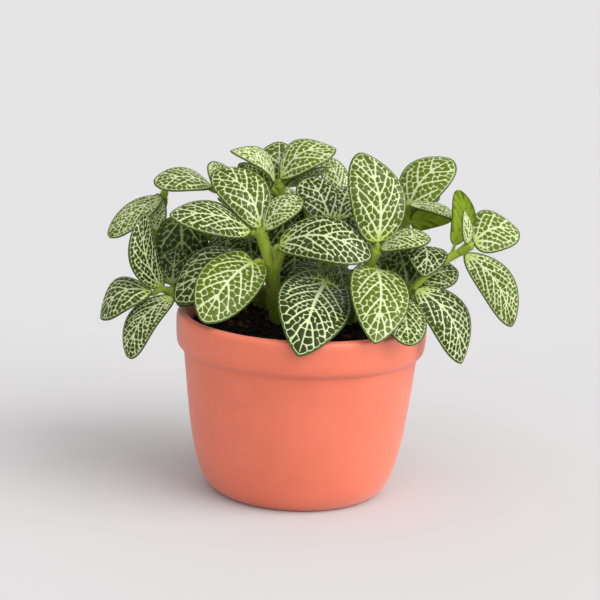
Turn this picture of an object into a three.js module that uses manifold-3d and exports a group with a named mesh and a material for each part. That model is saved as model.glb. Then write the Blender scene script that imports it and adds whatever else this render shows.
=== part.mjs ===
// A nerve plant in a round terracotta pot.
// The pot stands on the plane z = 0 with its axis on the z axis. Millimetres, +Z up, -Y is the front.

import * as THREE from 'three';
import { mergeVertices } from 'three/addons/utils/BufferGeometryUtils.js';
import Module from 'manifold-3d';

const wasm = await Module();
wasm.setup();

// Driving dimensions.

const potHeight = 65;
const rimRadius = 45;
const rimHeight = 13;
const potWall = 4;
const potFloor = 5;
const footRadius = 30;
const potFacets = 48;

const drainHoleRadius = 3;
const drainHoleCircle = 14;
const drainHoleCount = 3;

const soilMiddle = 61;
const soilEdge = 60;
const fitGap = 0.3;

const bladeThickness = 0.8;
const petioleRadius = 1.1;
const stalkDrop = 2.5;
const caneFacets = 8;
const rootDepth = 10;

// Materials.

const terracotta = new THREE.MeshStandardMaterial({ color: 0xe2765c, roughness: 0.75, metalness: 0 });
const pottingSoil = new THREE.MeshStandardMaterial({ color: 0x1d1511, roughness: 0.95, metalness: 0 });
const foliage = new THREE.MeshStandardMaterial({ color: 0x6f8a3c, roughness: 0.45, metalness: 0 });

// Joining and cutting.

function toSolid(geometry) {
  const plain = geometry.index ? geometry.toNonIndexed() : geometry.clone();
  plain.deleteAttribute('normal');
  plain.deleteAttribute('uv');
  const merged = mergeVertices(plain, 1e-4);
  const mesh = new wasm.Mesh({
    numProp: 3,
    vertProperties: new Float32Array(merged.attributes.position.array),
    triVerts: new Uint32Array(merged.index.array),
  });
  return new wasm.Manifold(mesh);
}

function toGeometry(solid) {
  const mesh = solid.getMesh();
  const geometry = new THREE.BufferGeometry();
  geometry.setAttribute('position', new THREE.BufferAttribute(mesh.vertProperties, 3));
  geometry.setIndex(new THREE.BufferAttribute(mesh.triVerts, 1));
  geometry.computeVertexNormals();
  return geometry;
}

function standing(geometry) {
  return geometry.rotateX(Math.PI / 2);
}

// The pot.

// Half section of the pot, from the middle of the foot, up the outside, over the lip and down the inside.
const potSection = [
  [0, 0],
  [footRadius, 0],
  [31.5, 1.2],
  [34.4, 4.5],
  [38.4, 19],
  [42.1, potHeight - rimHeight],
  [43.4, potHeight - rimHeight + 0.2],
  [44.5, potHeight - rimHeight + 1.8],
  [rimRadius, potHeight - 7],
  [rimRadius, potHeight - 1.6],
  [rimRadius - 0.5, potHeight - 0.5],
  [rimRadius - 1.6, potHeight],
  [rimRadius - potWall + 0.8, potHeight],
  [rimRadius - potWall, potHeight - 1],
  [40, potHeight - rimHeight],
  [36.8, potHeight - rimHeight - 4],
  [31.2, 10],
  [28, potFloor],
  [0, potFloor],
];

function section(pairs) {
  return pairs.map(([radius, height]) => new THREE.Vector2(radius, height));
}

function makePot() {
  const shell = standing(new THREE.LatheGeometry(section(potSection), potFacets));
  let pot = toSolid(shell);
  for (let i = 0; i < drainHoleCount; i += 1) {
    const turn = (i + 0.25) * 2 * Math.PI / drainHoleCount;
    const hole = standing(new THREE.CylinderGeometry(drainHoleRadius, drainHoleRadius, 3 * potFloor, 12));
    hole.translate(drainHoleCircle * Math.cos(turn), drainHoleCircle * Math.sin(turn), potFloor / 2);
    pot = pot.subtract(toSolid(hole));
  }
  return toGeometry(pot);
}

// Canes.

// A closed round bar through the given points, with a radius at each point.
function bar(points, radii, facets) {
  const path = points.map((p) => new THREE.Vector3(...p));
  const tangents = path.map((p, i) => {
    const before = path[Math.max(i - 1, 0)];
    const after = path[Math.min(i + 1, path.length - 1)];
    return after.clone().sub(before).normalize();
  });
  let side = new THREE.Vector3(1, 0, 0).cross(tangents[0]);
  if (side.length() < 0.3) {
    side = new THREE.Vector3(0, 1, 0).cross(tangents[0]);
  }
  const vertices = [];
  const faces = [];
  for (let i = 0; i < path.length; i += 1) {
    side.addScaledVector(tangents[i], -side.dot(tangents[i])).normalize();
    const other = tangents[i].clone().cross(side);
    for (let k = 0; k < facets; k += 1) {
      const turn = 2 * Math.PI * k / facets;
      const p = path[i].clone();
      p.addScaledVector(side, radii[i] * Math.cos(turn));
      p.addScaledVector(other, radii[i] * Math.sin(turn));
      vertices.push(p.x, p.y, p.z);
    }
  }
  for (let i = 0; i + 1 < path.length; i += 1) {
    for (let k = 0; k < facets; k += 1) {
      const a = i * facets + k;
      const b = i * facets + (k + 1) % facets;
      faces.push(a, b, b + facets, a, b + facets, a + facets);
    }
  }
  const first = vertices.length / 3;
  vertices.push(path[0].x, path[0].y, path[0].z);
  const last = first + 1;
  const end = path[path.length - 1];
  vertices.push(end.x, end.y, end.z);
  const top = (path.length - 1) * facets;
  for (let k = 0; k < facets; k += 1) {
    const next = (k + 1) % facets;
    faces.push(first, next, k);
    faces.push(last, top + k, top + next);
  }
  const geometry = new THREE.BufferGeometry();
  geometry.setAttribute('position', new THREE.BufferAttribute(new Float32Array(vertices), 3));
  geometry.setIndex(faces);
  return geometry;
}

// Leaves.

// Half width of a blade from its base (v = 0) to its tip (v = 1), as a share of the widest place.
// taper shapes its base and point its tip: the end is blunt where the number is small.
function outline(v, taper, point) {
  const peak = taper / (taper + point);
  return (v / peak) ** taper * ((1 - v) / (1 - peak)) ** point;
}

// Rows of a blade from base to tip, and its columns from one margin to the other.
const largeBladeRows = [0.012, 0.09, 0.24, 0.43, 0.63, 0.82, 0.985];
const smallBladeRows = [0.012, 0.12, 0.33, 0.57, 0.8, 0.985];
const largeBladeWidth = 17;
const bladeColumns = [-1, -0.4, 0.4, 1];

// Each blade runs from base to tip. arch lifts its middle, late moves that rise towards the tip,
// roll turns it about its midrib, side bows it sideways, lobe draws its two shoulders back past
// the petiole and cup lets its margins hang.
function bladeSurface(leaf) {
  const base = new THREE.Vector3(...leaf.base);
  const along = new THREE.Vector3(...leaf.tip).sub(base);
  const length = along.length();
  along.normalize();
  const up = new THREE.Vector3(0, 0, 1);
  up.addScaledVector(along, -along.z).normalize();
  const roll = THREE.MathUtils.degToRad(leaf.roll ?? 0);
  const normal = up.clone().multiplyScalar(Math.cos(roll));
  normal.addScaledVector(along.clone().cross(up), Math.sin(roll));
  const across = along.clone().cross(normal);
  const { width, arch = 3, late = 0.9, side = 0, lobe = 0, cup = 0.12, taper = 0.6, point = 0.64 } = leaf;
  const fold = 0.05;
  function at(u, v) {
    const half = outline(v, taper, point);
    const rise = arch * Math.sin(Math.PI * v ** late) + width * (fold * Math.abs(u) - cup * u * u) * half;
    const run = length * v - lobe * u * u * (1 - v) ** 3 * (1 - Math.exp(-12 * v));
    const sway = width / 2 * half * u + side * Math.sin(Math.PI * v);
    const p = base.clone();
    p.addScaledVector(along, run);
    p.addScaledVector(normal, rise);
    p.addScaledVector(across, sway);
    return p;
  }
  return { base, along, normal, across, at };
}

function surfaceNormal(surface, u, v) {
  const step = 0.01;
  const du = surface.at(u + step, v).sub(surface.at(u - step, v));
  const dv = surface.at(u, Math.min(v + step, 0.995)).sub(surface.at(u, Math.max(v - step, 0.005)));
  return du.cross(dv).normalize();
}

// One ring of points around the blade: its upper face from margin to margin, then its lower face back.
function bladeRing(surface, v) {
  const upper = [];
  const lower = [];
  for (const u of bladeColumns) {
    const p = surface.at(u, v);
    const n = surfaceNormal(surface, u * 0.9, v).multiplyScalar(bladeThickness / 2);
    upper.push(p.clone().add(n));
    lower.unshift(p.clone().sub(n));
  }
  return [...upper, ...lower];
}

// One ring of points around the petiole, square to its run, that matches a blade ring point for point.
function petioleRing(surface, centre, direction, radius) {
  const across = surface.across.clone();
  across.addScaledVector(direction, -across.dot(direction)).normalize();
  const normal = across.clone().cross(direction);
  const count = 2 * bladeColumns.length;
  const ring = [];
  for (let k = 0; k < count; k += 1) {
    const turn = Math.PI - (k + 0.5) * 2 * Math.PI / count;
    const p = centre.clone();
    p.addScaledVector(across, radius * Math.cos(turn));
    p.addScaledVector(normal, radius * Math.sin(turn));
    ring.push(p);
  }
  return ring;
}

// The place inside the canes that lies a little way down from a node.
function belowNode(canes, node) {
  let nearest = Infinity;
  let below = node;
  for (const cane of canes) {
    for (let i = 0; i + 1 < cane.length; i += 1) {
      const from = new THREE.Vector3(...cane[i]);
      const line = new THREE.Line3(from, new THREE.Vector3(...cane[i + 1]));
      const spot = line.closestPointToPoint(node, true, new THREE.Vector3());
      if (spot.distanceTo(node) < nearest) {
        nearest = spot.distanceTo(node);
        const upwards = line.delta(new THREE.Vector3()).normalize();
        below = spot.addScaledVector(upwards, -stalkDrop);
      }
    }
  }
  return below;
}

// A leaf is one closed skin: its petiole starts inside the cane, leaves it at the node, bends into
// line with the midrib and widens into the blade.
function leafSolid(leaf, canes) {
  const surface = bladeSurface(leaf);
  const node = new THREE.Vector3(...leaf.node);
  const start = belowNode(canes, node);
  const base = surface.at(0, 0);
  const reach = base.distanceTo(node);
  const bend = base.clone().addScaledVector(surface.along, -0.4 * reach);
  const middle = node.clone().lerp(bend, 0.5).lerp(bend.clone().lerp(base, 0.5), 0.5);
  const radius = Math.min(petioleRadius, leaf.width / 13);
  const rows = leaf.width < largeBladeWidth ? smallBladeRows : largeBladeRows;
  const rings = [
    petioleRing(surface, start, middle.clone().sub(start).normalize(), radius * 1.25),
    petioleRing(surface, middle, base.clone().sub(node).normalize(), radius),
    ...rows.map((v) => bladeRing(surface, v)),
  ];
  const count = rings[0].length;
  const faces = [];
  for (let i = 0; i + 1 < rings.length; i += 1) {
    for (let k = 0; k < count; k += 1) {
      const a = i * count + k;
      const b = i * count + (k + 1) % count;
      faces.push(a, b, b + count, a, b + count, a + count);
    }
  }
  const last = (rings.length - 1) * count;
  for (let k = 0; k + 1 < bladeColumns.length; k += 1) {
    const a = k;
    const b = k + 1;
    const c = count - 2 - k;
    const d = count - 1 - k;
    faces.push(a, c, b, a, d, c);
    faces.push(last + a, last + b, last + c, last + a, last + c, last + d);
  }
  const points = rings.flat().flatMap((p) => p.toArray());
  const geometry = new THREE.BufferGeometry();
  geometry.setAttribute('position', new THREE.BufferAttribute(new Float32Array(points), 3));
  geometry.setIndex(faces);
  return geometry;
}

// The leafy stems.

// Every stem has one or more canes and its leaves. A cane is [x, y, z, radius] at each of its points
// and the first one stands in the soil. A leaf hangs at a node of its cane.
const leafyStems = [
  {
    name: 'leafy_stem_01_front_left',
    canes: [
      [[-9, 1, 51, 2.4], [-9, 1, 63, 2.6], [-10, -1, 69, 2.6], [-11, -4, 77, 2.7], [-13, -5, 86, 2.1],
        [-15, -5, 92, 2.2], [-16, -5, 95, 2.4]],
      [[-11, -4, 76, 2], [-9.5, -6, 84, 1.7], [-8, -8, 89, 1.8]],
    ],
    leaves: [
      { node: [-16, -5, 94], base: [-16, -4.4, 95.8], tip: [-33, 5.6, 114.4], width: 18.1, arch: 3.3,
        roll: -33, side: 2.9, lobe: 2.3, taper: 0.74, point: 0.6 },
      { node: [-16, -5, 93], base: [-19.4, -5.6, 94.7], tip: [-47.6, -13.8, 100.7], width: 19.6, arch: 3.9,
        roll: -28, taper: 0.65, point: 0.75 },
      { node: [-15.5, -5, 94], base: [-14.8, -5.5, 95.4], tip: [-1.5, -4, 106.9], width: 11.9, arch: 2.6,
        roll: 41, side: -1, taper: 0.65, point: 0.57 },
      { node: [-12.5, -5, 82], base: [-17.8, -7.9, 84.1], tip: [-33.9, -33.5, 67.9], width: 20.8,
        arch: 4.3, roll: -32, side: 1.5, lobe: 7.5, taper: 0.64, point: 0.68 },
      { node: [-12.5, -4.5, 82], base: [-18.4, -2.1, 82.6], tip: [-44.9, -13, 69.9], width: 21.3,
        arch: 7.9, roll: -33, lobe: 0.8, taper: 0.57, point: 0.69 },
      { node: [-8.5, -7, 87], base: [-9, -10.1, 91.1], tip: [23.4, -15.5, 89.4], width: 19.2, arch: 8,
        roll: 44, side: -0.8, lobe: 3.9, taper: 0.73, point: 0.69 },
    ],
  },
  {
    name: 'leafy_stem_02_front_middle',
    canes: [
      [[17.5, 3, 51, 2], [17.5, 3, 63, 2.2], [19.5, -4, 72, 2.1], [22, -9, 82, 2], [23.5, -11, 88, 2],
        [25, -11.5, 91, 2.1]],
    ],
    leaves: [
      { node: [25, -11.5, 90], base: [25.3, -11.7, 93.8], tip: [18, 0.9, 123.4], width: 21.3, arch: 2.6,
        roll: -7, side: 2.8, lobe: 2.1, taper: 0.59, point: 0.65 },
      { node: [24.5, -11, 89.5], base: [26.4, -12, 91.7], tip: [43.5, -17.1, 96.6], width: 12.4, roll: 28,
        side: -0.5, taper: 0.63, point: 0.65 },
      { node: [22.5, -9.5, 83], base: [25.3, -14.3, 84.9], tip: [24.9, -43.2, 65.3], width: 21.4,
        arch: 4.6, roll: -14, side: -0.5, lobe: 5.5, taper: 0.56, point: 0.81 },
    ],
  },
  {
    name: 'leafy_stem_03_middle',
    canes: [
      [[11, 9, 51, 2], [11, 9, 63, 2.2], [10.5, 4, 73, 2], [10.5, 2, 82, 1.9], [10, 4, 91, 1.8],
        [9.5, 5, 96, 1.9]],
    ],
    leaves: [
      { node: [10.5, 3, 75], base: [8.1, -10.2, 79.3], tip: [-0.7, -48.2, 61.1], width: 25.7, arch: 6.7,
        late: 1.6, roll: -20, side: 1.3, lobe: 13, cup: 0.09, taper: 0.73, point: 0.75 },
      { node: [9.5, 5, 95], base: [8.5, 4.1, 97.7], tip: [-0.1, 12.5, 111.8], width: 17.1, arch: 2,
        roll: -14, lobe: 1, taper: 0.54, point: 0.46 },
      { node: [9.5, 5, 95], base: [11.5, 6, 98], tip: [15, 16, 108.5], width: 13, arch: 2, roll: 10 },
      { node: [10.5, 2, 82], base: [11.5, 0, 83], tip: [14.5, -13, 75], width: 9, arch: 2 },
      { node: [10.5, 2, 80], base: [8, 2, 80], tip: [-6, 0, 76], width: 13, arch: 2, roll: -30 },
    ],
  },
  {
    name: 'leafy_stem_04_front_right',
    canes: [
      [[32, -2, 51, 2.1], [32, -2, 63, 2.2], [35, -8, 72, 2], [38, -12, 77.5, 1.5], [42.5, -12, 82.5, 1.05],
        [47, -10.5, 86.5, 1.05], [51, -9.3, 89, 1.3], [55, -9.1, 91.8, 1.5], [57.9, -9, 94, 1.9]],
    ],
    leaves: [
      { node: [38, -12, 77], base: [39.6, -14, 78.5], tip: [56.6, -18.1, 53.3], width: 17, arch: 4.3,
        roll: 43, side: -3.3, lobe: 2.5, taper: 0.75, point: 0.79 },
      { node: [42, -12, 82], base: [41.4, -8.8, 79.8], tip: [54.4, -4.9, 83.6], width: 13, arch: 2.3,
        roll: 44, side: -0.4, point: 0.63 },
      { node: [38, -12, 77], base: [37, -10, 78], tip: [33, -2, 90.5], width: 16, arch: 2, roll: -20 },
      { node: [35.5, -9, 73], base: [33.3, -13, 75.5], tip: [36.6, -40, 64.4], width: 15.4, arch: 2.7,
        roll: -6, lobe: 4.1, taper: 0.64, point: 0.58 },
      { node: [56.5, -9, 92], base: [58.9, -9.2, 94.8], tip: [75.3, -2.3, 98.3], width: 17.3, arch: 1.7,
        roll: 45, side: -2.7, lobe: 0.6, taper: 0.53, point: 0.61 },
      { node: [50.5, -9.4, 88.7], base: [56.4, -9.8, 91], tip: [73.5, -17.7, 67.4], width: 13,
        arch: 4.2, roll: 52, side: -2.6, taper: 0.64, point: 0.67 },
      { node: [47.5, -10.2, 87], base: [52.7, -7, 93.4], tip: [53.2, -1, 112], width: 8.4, arch: 1,
        roll: 180, side: -2.5, taper: 0.55, point: 0.56 },
      { node: [56.5, -9, 92], base: [56.8, -10.4, 94.6], tip: [54.7, -10.3, 106.9], width: 4.6, arch: 1.3,
        roll: -60, taper: 0.57, point: 0.91 },
    ],
  },
  {
    name: 'leafy_stem_05_right',
    canes: [
      [[25, 17, 51, 2], [25, 17, 63, 2.1], [32.5, 16, 78, 1.9], [34.5, 12, 90, 1.8], [36.5, 8.5, 100, 1.8],
        [37, 8, 102, 1.9]],
    ],
    leaves: [
      { node: [36.8, 8, 101], base: [36.5, 8, 102.9], tip: [51.7, 16, 120], width: 17.9, arch: 2.2,
        roll: 34, side: -2.4, lobe: 2.1, taper: 0.58, point: 0.59 },
      { node: [36.5, 8, 100], base: [36.4, 5.1, 104.7], tip: [54.6, 2.7, 101.1], width: 9.8, arch: 2.2,
        roll: 13, taper: 0.62, point: 0.55 },
      { node: [36.2, 9, 98], base: [37.6, 6.8, 98.6], tip: [51.9, 4, 99.8], width: 10.3, arch: 1.5,
        roll: -60, side: 0.7, taper: 0.33, point: 0.82 },
      { node: [35, 12, 90], base: [41.1, -5, 91.8], tip: [41.7, -20, 84.1], width: 15.3, arch: 3.5,
        roll: -6, side: -0.8, lobe: 2.3, taper: 0.42, point: 0.76 },
      { node: [36.8, 8, 101], base: [37, 12, 102], tip: [44, 28, 106], width: 16, arch: 2 },
    ],
  },
  {
    name: 'leafy_stem_06_left_over_the_rim',
    canes: [
      [[-31, 6, 51, 2], [-31, 6, 62.5, 2.1], [-34, 4, 66.5, 1.9], [-39.5, 0, 69, 1.8], [-44.5, -5, 71, 1.8],
        [-47, -8, 72.5, 1.9]],
    ],
    leaves: [
      { node: [-46, -7, 72.5], base: [-50.2, -7.4, 73.3], tip: [-57.1, -8.6, 100], width: 14.2, arch: 0.5,
        roll: -48, side: -4.5, lobe: 1.2, taper: 0.51, point: 0.55 },
      { node: [-46.5, -7.5, 73], base: [-53, -10.5, 72.4], tip: [-71.1, -10.9, 62.1], width: 17.1,
        arch: 4.5, roll: -33, side: 2.5, taper: 0.76, point: 0.75 },
      { node: [-46, -7, 72.5], base: [-45.8, -9.9, 70.8], tip: [-60.1, -18.3, 50], width: 12.2, arch: 3.4,
        roll: -31, side: 2.9, lobe: 1.4, taper: 0.61, point: 0.55 },
      { node: [-44, -4.5, 72], base: [-46.5, -5, 74], tip: [-46, 2, 86], width: 13, arch: 1 },
      { node: [-32.5, 5, 65], base: [-36.5, 0, 67.8], tip: [-43.5, -8, 67], width: 10, arch: 2 },
    ],
  },
  {
    name: 'leafy_stem_07_left_back',
    canes: [
      [[-23, 18, 51, 2], [-23, 18, 63, 2.1], [-33, 22, 74, 1.9], [-45, 20, 85, 1.8], [-50, 18, 88.5, 1.7],
        [-52.6, 17, 93, 1.5], [-51.8, 17, 103.5, 1.5]],
    ],
    leaves: [
      { node: [-52, 17, 99], base: [-52.4, 14.6, 102], tip: [-70.7, 7.5, 87.9], width: 11.5, arch: 2.7,
        roll: -30, side: -0.2, taper: 0.62, point: 0.57 },
      { node: [-52.2, 17, 91], base: [-54, 14.1, 89.6], tip: [-53.8, 14.4, 103.3], width: 8.1, arch: 1.1,
        roll: 10, taper: 0.57, point: 0.63 },
      { node: [-44, 20.5, 84], base: [-45.5, 14, 95], tip: [-44, 6, 71], width: 20, arch: 3, lobe: 3 },
      { node: [-50, 18, 88], base: [-51, 21, 89.5], tip: [-57, 38, 80], width: 17 },
    ],
  },
  {
    name: 'leafy_stem_08_left_top',
    canes: [
      [[-14, 21, 51, 2], [-14, 21, 63, 2.1], [-24, 20, 82, 1.9], [-27.5, 15, 95.5, 1.6],
        [-28.5, 13.5, 99.5, 1.6]],
    ],
    leaves: [
      { node: [-28.3, 13.7, 98.8], base: [-34.3, 11.2, 106.8], tip: [-54.9, 6.1, 108.6], width: 14.8,
        arch: 3.8, roll: -25, side: -0.2, taper: 0.74, point: 0.57 },
      { node: [-28.3, 13.7, 98.8], base: [-32.1, 13, 106.4], tip: [-34.5, 17.9, 115.3], width: 9.1, arch: 1.8,
        roll: -1, side: 1, taper: 0.62, point: 0.59 },
      { node: [-28, 14, 97.5], base: [-27, 19, 99], tip: [-29, 34, 97], width: 10 },
      { node: [-27, 17, 90], base: [-26, 12, 91], tip: [-29, 1, 83], width: 14, arch: 2 },
      { node: [-23, 20, 80], base: [-21, 15, 89], tip: [-18, 4, 74], width: 17, arch: 2, lobe: 3 },
    ],
  },
  {
    name: 'leafy_stem_09_top',
    canes: [
      [[-1, 23, 51, 2], [-1, 23, 63, 2.1], [-5, 20, 87, 1.9], [-8.5, 18, 100, 1.9], [-10.5, 16, 108, 2]],
    ],
    leaves: [
      { node: [-10.5, 16, 107.5], base: [-12, 15.9, 108.9], tip: [-28.4, 12.5, 120.1], width: 9.9,
        arch: 3.6, roll: -41, side: 2.8, taper: 0.67, point: 0.89 },
      { node: [-10.5, 16, 107.5], base: [-10, 15.8, 109.9], tip: [9.7, 20.6, 121.3], width: 16.3,
        arch: 4.4, roll: 33, side: -2.4, taper: 0.78, point: 0.78 },
      { node: [-10.5, 16, 107.5], base: [-10.5, 20, 107], tip: [-11, 28, 122], width: 17, arch: 1 },
      { node: [-10, 16.5, 105], base: [-13.5, 14, 107], tip: [-24.5, 10, 116.5], width: 13, arch: 1,
        roll: -150 },
      { node: [-10, 16.5, 105], base: [-8, 18, 107.5], tip: [7, 20.6, 114.5], width: 12, arch: 1,
        roll: 150 },
      { node: [-4, 21, 82], base: [-3.5, 17, 86], tip: [-3.5, 7, 71], width: 17, arch: 2 },
      { node: [-7.5, 18.7, 97], base: [-9, 14, 104], tip: [-8, 5, 86], width: 17, arch: 2, lobe: 3 },
    ],
  },
  {
    name: 'leafy_stem_10_middle_back',
    canes: [
      [[13, 27, 51, 2], [13, 27, 63, 2.1], [14.5, 26, 86, 1.9], [13.5, 24, 99, 1.8], [13.5, 24, 101, 1.8]],
    ],
    leaves: [
      { node: [13.5, 24, 100], base: [13.8, 24, 102], tip: [7, 30.1, 116.3], width: 10.7, arch: 1.7,
        roll: -21, side: -0.5, taper: 0.67, point: 0.49 },
      { node: [13.5, 24, 100], base: [14.5, 24, 101.5], tip: [22, 32, 111], width: 14, arch: 2 },
      { node: [13.5, 24.5, 97], base: [15, 28, 97.5], tip: [20, 43, 94], width: 16 },
      { node: [14.5, 26, 86], base: [19, 23, 90], tip: [28, 12, 80], width: 17, arch: 2 },
      { node: [13.8, 25, 94], base: [14, 21, 98], tip: [14.5, 12, 86], width: 15, arch: 2 },
      { node: [14, 26.5, 77], base: [12, 21, 78], tip: [5, 9, 68], width: 16, arch: 2 },
    ],
  },
  {
    name: 'leafy_stem_11_back_left',
    canes: [
      [[-17, 29, 51, 2], [-17, 29, 63, 2.1], [-23, 33, 75, 1.9], [-28, 36, 83, 1.9]],
    ],
    leaves: [
      { node: [-27.5, 36, 82], base: [-30.5, 37, 84.5], tip: [-50, 45, 85], width: 16 },
      { node: [-27.5, 36, 82], base: [-29, 39, 84], tip: [-35, 58, 78], width: 18, arch: 4 },
      { node: [-27.5, 36, 82], base: [-26, 38, 84.5], tip: [-18, 52, 90], width: 14, arch: 2 },
      { node: [-23, 33, 74], base: [-26, 36, 74.5], tip: [-44, 46, 62], width: 19, arch: 4, lobe: 3 },
      { node: [-17.5, 29.3, 66], base: [-9, 27, 69.5], tip: [-6, 14, 65.5], width: 7, arch: 1.5 },
    ],
  },
  {
    name: 'leafy_stem_12_back',
    canes: [
      [[-2, 33, 51, 2], [-2, 33, 63, 2.1], [-1, 35, 80, 1.9], [0, 38, 95, 1.9]],
    ],
    leaves: [
      { node: [0, 38, 94], base: [-2.5, 39, 97], tip: [-17, 46, 103], width: 16, arch: 2 },
      { node: [0, 38, 94], base: [2, 39, 96.5], tip: [8, 55, 101], width: 16, arch: 2 },
      { node: [0, 38, 93], base: [0, 41, 94], tip: [-6, 62, 86], width: 19, arch: 4, lobe: 3 },
      { node: [-1, 35, 79], base: [-3.5, 38, 79.5], tip: [-15, 56, 69], width: 19, arch: 4 },
      { node: [-1, 35, 79], base: [2.5, 38, 79], tip: [11, 58, 67], width: 20, arch: 4, lobe: 3 },
      { node: [-1.5, 34, 70], base: [4, 30, 72], tip: [8, 16, 66], width: 10, arch: 2 },
    ],
  },
  {
    name: 'leafy_stem_13_back_right',
    canes: [
      [[22, 27, 51, 2], [22, 27, 63, 2.1], [25, 32, 74, 1.9], [29, 36, 82, 1.9]],
    ],
    leaves: [
      { node: [28.5, 35.5, 81], base: [31.5, 36, 83.5], tip: [46, 41, 84.5], width: 16, lobe: 2 },
      { node: [28.5, 35.5, 81], base: [31, 39, 83], tip: [39, 56, 77], width: 18, arch: 4 },
      { node: [28.5, 35.5, 81], base: [28, 39, 84], tip: [22, 54, 88], width: 13, arch: 2 },
      { node: [25, 32, 73], base: [27, 36, 73], tip: [23, 55, 62], width: 21, arch: 4, lobe: 3 },
    ],
  },
  {
    name: 'leafy_stem_14_right_back',
    canes: [
      [[33, 7, 51, 1.9], [33, 7, 63, 2], [42, 13, 71, 1.8], [49, 18, 76, 1.8]],
    ],
    leaves: [
      { node: [48.5, 17.5, 75.5], base: [48.5, 21, 76.5], tip: [50, 38, 73], width: 13 },
      { node: [48.5, 17.5, 75.5], base: [45.5, 20, 76.5], tip: [36, 34, 76], width: 15 },
      { node: [42, 13, 70], base: [42.5, 17, 70.5], tip: [50, 36, 59], width: 18, arch: 4 },
    ],
  },
];

function makeLeafyStem(stem) {
  const pieces = [];
  for (const cane of stem.canes) {
    const points = cane.map(([x, y, z]) => [x, y, z]);
    const radii = cane.map((p) => p[3]);
    pieces.push(bar(points, radii, caneFacets));
  }
  for (const leaf of stem.leaves) {
    pieces.push(leafSolid(leaf, stem.canes));
  }
  let whole = toSolid(pieces[0]);
  for (const piece of pieces.slice(1)) {
    whole = whole.add(toSolid(piece));
  }
  return toGeometry(whole);
}

// The soil.

// The soil fills the pot to just under its lip, and every cane stands in a plain round hole in it.
const soilSection = [
  [0, potFloor + fitGap],
  [27.8, potFloor + fitGap],
  [30.8, 10.2],
  [36.4, potHeight - rimHeight - 3.9],
  [39.6, potHeight - rimHeight],
  [40, soilEdge],
  [24, soilMiddle],
  [0, soilMiddle],
];

function makeSoil() {
  const fill = standing(new THREE.LatheGeometry(section(soilSection), potFacets));
  let soil = toSolid(fill);
  for (const stem of leafyStems) {
    const [x, y, z, radius] = stem.canes[0][0];
    const wide = Math.max(radius, stem.canes[0][1][3]) + 0.5;
    const bottom = z - fitGap;
    const hole = standing(new THREE.CylinderGeometry(wide, wide, 2 * rootDepth, 10));
    hole.translate(x, y, bottom + rootDepth);
    soil = soil.subtract(toSolid(hole));
  }
  return toGeometry(soil);
}

// The object.

const plant = new THREE.Group();
plant.name = 'potted_nerve_plant';

function place(name, geometry, material) {
  const mesh = new THREE.Mesh(geometry, material);
  mesh.name = name;
  plant.add(mesh);
}

place('pot', makePot(), terracotta);
place('soil', makeSoil(), pottingSoil);
for (const stem of leafyStems) {
  place(stem.name, makeLeafyStem(stem), foliage);
}

export default plant;
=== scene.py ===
# %% [markdown]
# # A nerve plant in a terracotta pot
# The plant's solids come from the CAD model as a fixed frame. This script dresses them: it raises a finer
# pot, heaps the soil, and grows every leaf again with its pale net of veins. Everything is in metres, z
# is up and the plant's front looks along -y. The stems further down are written in millimetres, as the
# plant was measured, and `MM` turns a millimetre into metres.

# %% The frame
import math

import bpy
import numpy as np
from mathutils import Euler, Matrix, Quaternion, Vector


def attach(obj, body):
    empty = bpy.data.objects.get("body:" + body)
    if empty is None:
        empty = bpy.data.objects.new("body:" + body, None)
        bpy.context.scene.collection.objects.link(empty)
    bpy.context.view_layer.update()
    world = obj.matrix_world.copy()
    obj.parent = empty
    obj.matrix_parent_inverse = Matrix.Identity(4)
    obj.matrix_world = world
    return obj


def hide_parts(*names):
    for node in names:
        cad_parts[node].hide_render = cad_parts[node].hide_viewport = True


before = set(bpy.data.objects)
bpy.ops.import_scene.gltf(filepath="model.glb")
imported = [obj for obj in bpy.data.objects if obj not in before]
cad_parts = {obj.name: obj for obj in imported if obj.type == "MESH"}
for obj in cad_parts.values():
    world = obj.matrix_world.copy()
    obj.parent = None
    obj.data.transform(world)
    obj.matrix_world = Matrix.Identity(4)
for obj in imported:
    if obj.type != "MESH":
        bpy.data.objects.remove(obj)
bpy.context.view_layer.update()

MM = 0.001

# %% [markdown]
# ## Selecting and finishing
# Operators act on whatever is selected, and loading the frame leaves its pieces selected. So each piece
# is made the only selected one before an operator touches it. When a piece is done it rides on the body
# of the pot, and the CAD nodes it stands for are hidden.

# %% Helpers for pieces


def select_only(*objects):
    """Selects these objects, or nothing at all, and makes the first one active."""
    bpy.ops.object.select_all(action="DESELECT")
    for obj in objects:
        obj.select_set(True)
    if objects:
        bpy.context.view_layer.objects.active = objects[0]


def apply_modifier(obj, kind, **settings):
    """Adds a modifier of that kind with those settings and applies it."""
    select_only(obj)
    modifier = obj.modifiers.new(kind.title(), kind)
    for name, value in settings.items():
        setattr(modifier, name, value)
    bpy.ops.object.modifier_apply(modifier=modifier.name)


def finish_piece(obj, name, replaced=()):
    """Names a piece, lets it ride on the root body and says which CAD nodes it stands for."""
    obj.name = name
    obj.data.name = name
    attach(obj, "root")
    if replaced:
        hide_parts(*replaced)
    triangles = sum(len(face.vertices) - 2 for face in obj.data.polygons)
    print(name, "has", triangles, "triangles")


def vertex_array(mesh):
    """The places of a mesh's vertices, one row for each."""
    values = np.empty(3 * len(mesh.vertices))
    mesh.vertices.foreach_get("co", values)
    return values.reshape(-1, 3)


def store_value(mesh, name, values):
    """Keeps one number for each vertex under a name that a material can read."""
    attribute = mesh.attributes.new(name, "FLOAT", "POINT")
    attribute.data.foreach_set("value", np.asarray(values, dtype=np.float32))


# %% [markdown]
# ## Writing a material as sums
# A material is a tree of nodes, and its sums are easier to read as sums. `Value` wraps one output of a
# node and knows +, - and *, so that `1 - mask` adds a Math node by itself. `Finish` makes the other
# nodes: it takes a node's type, its settings and what goes into its sockets.

# %% Helpers for materials


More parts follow.
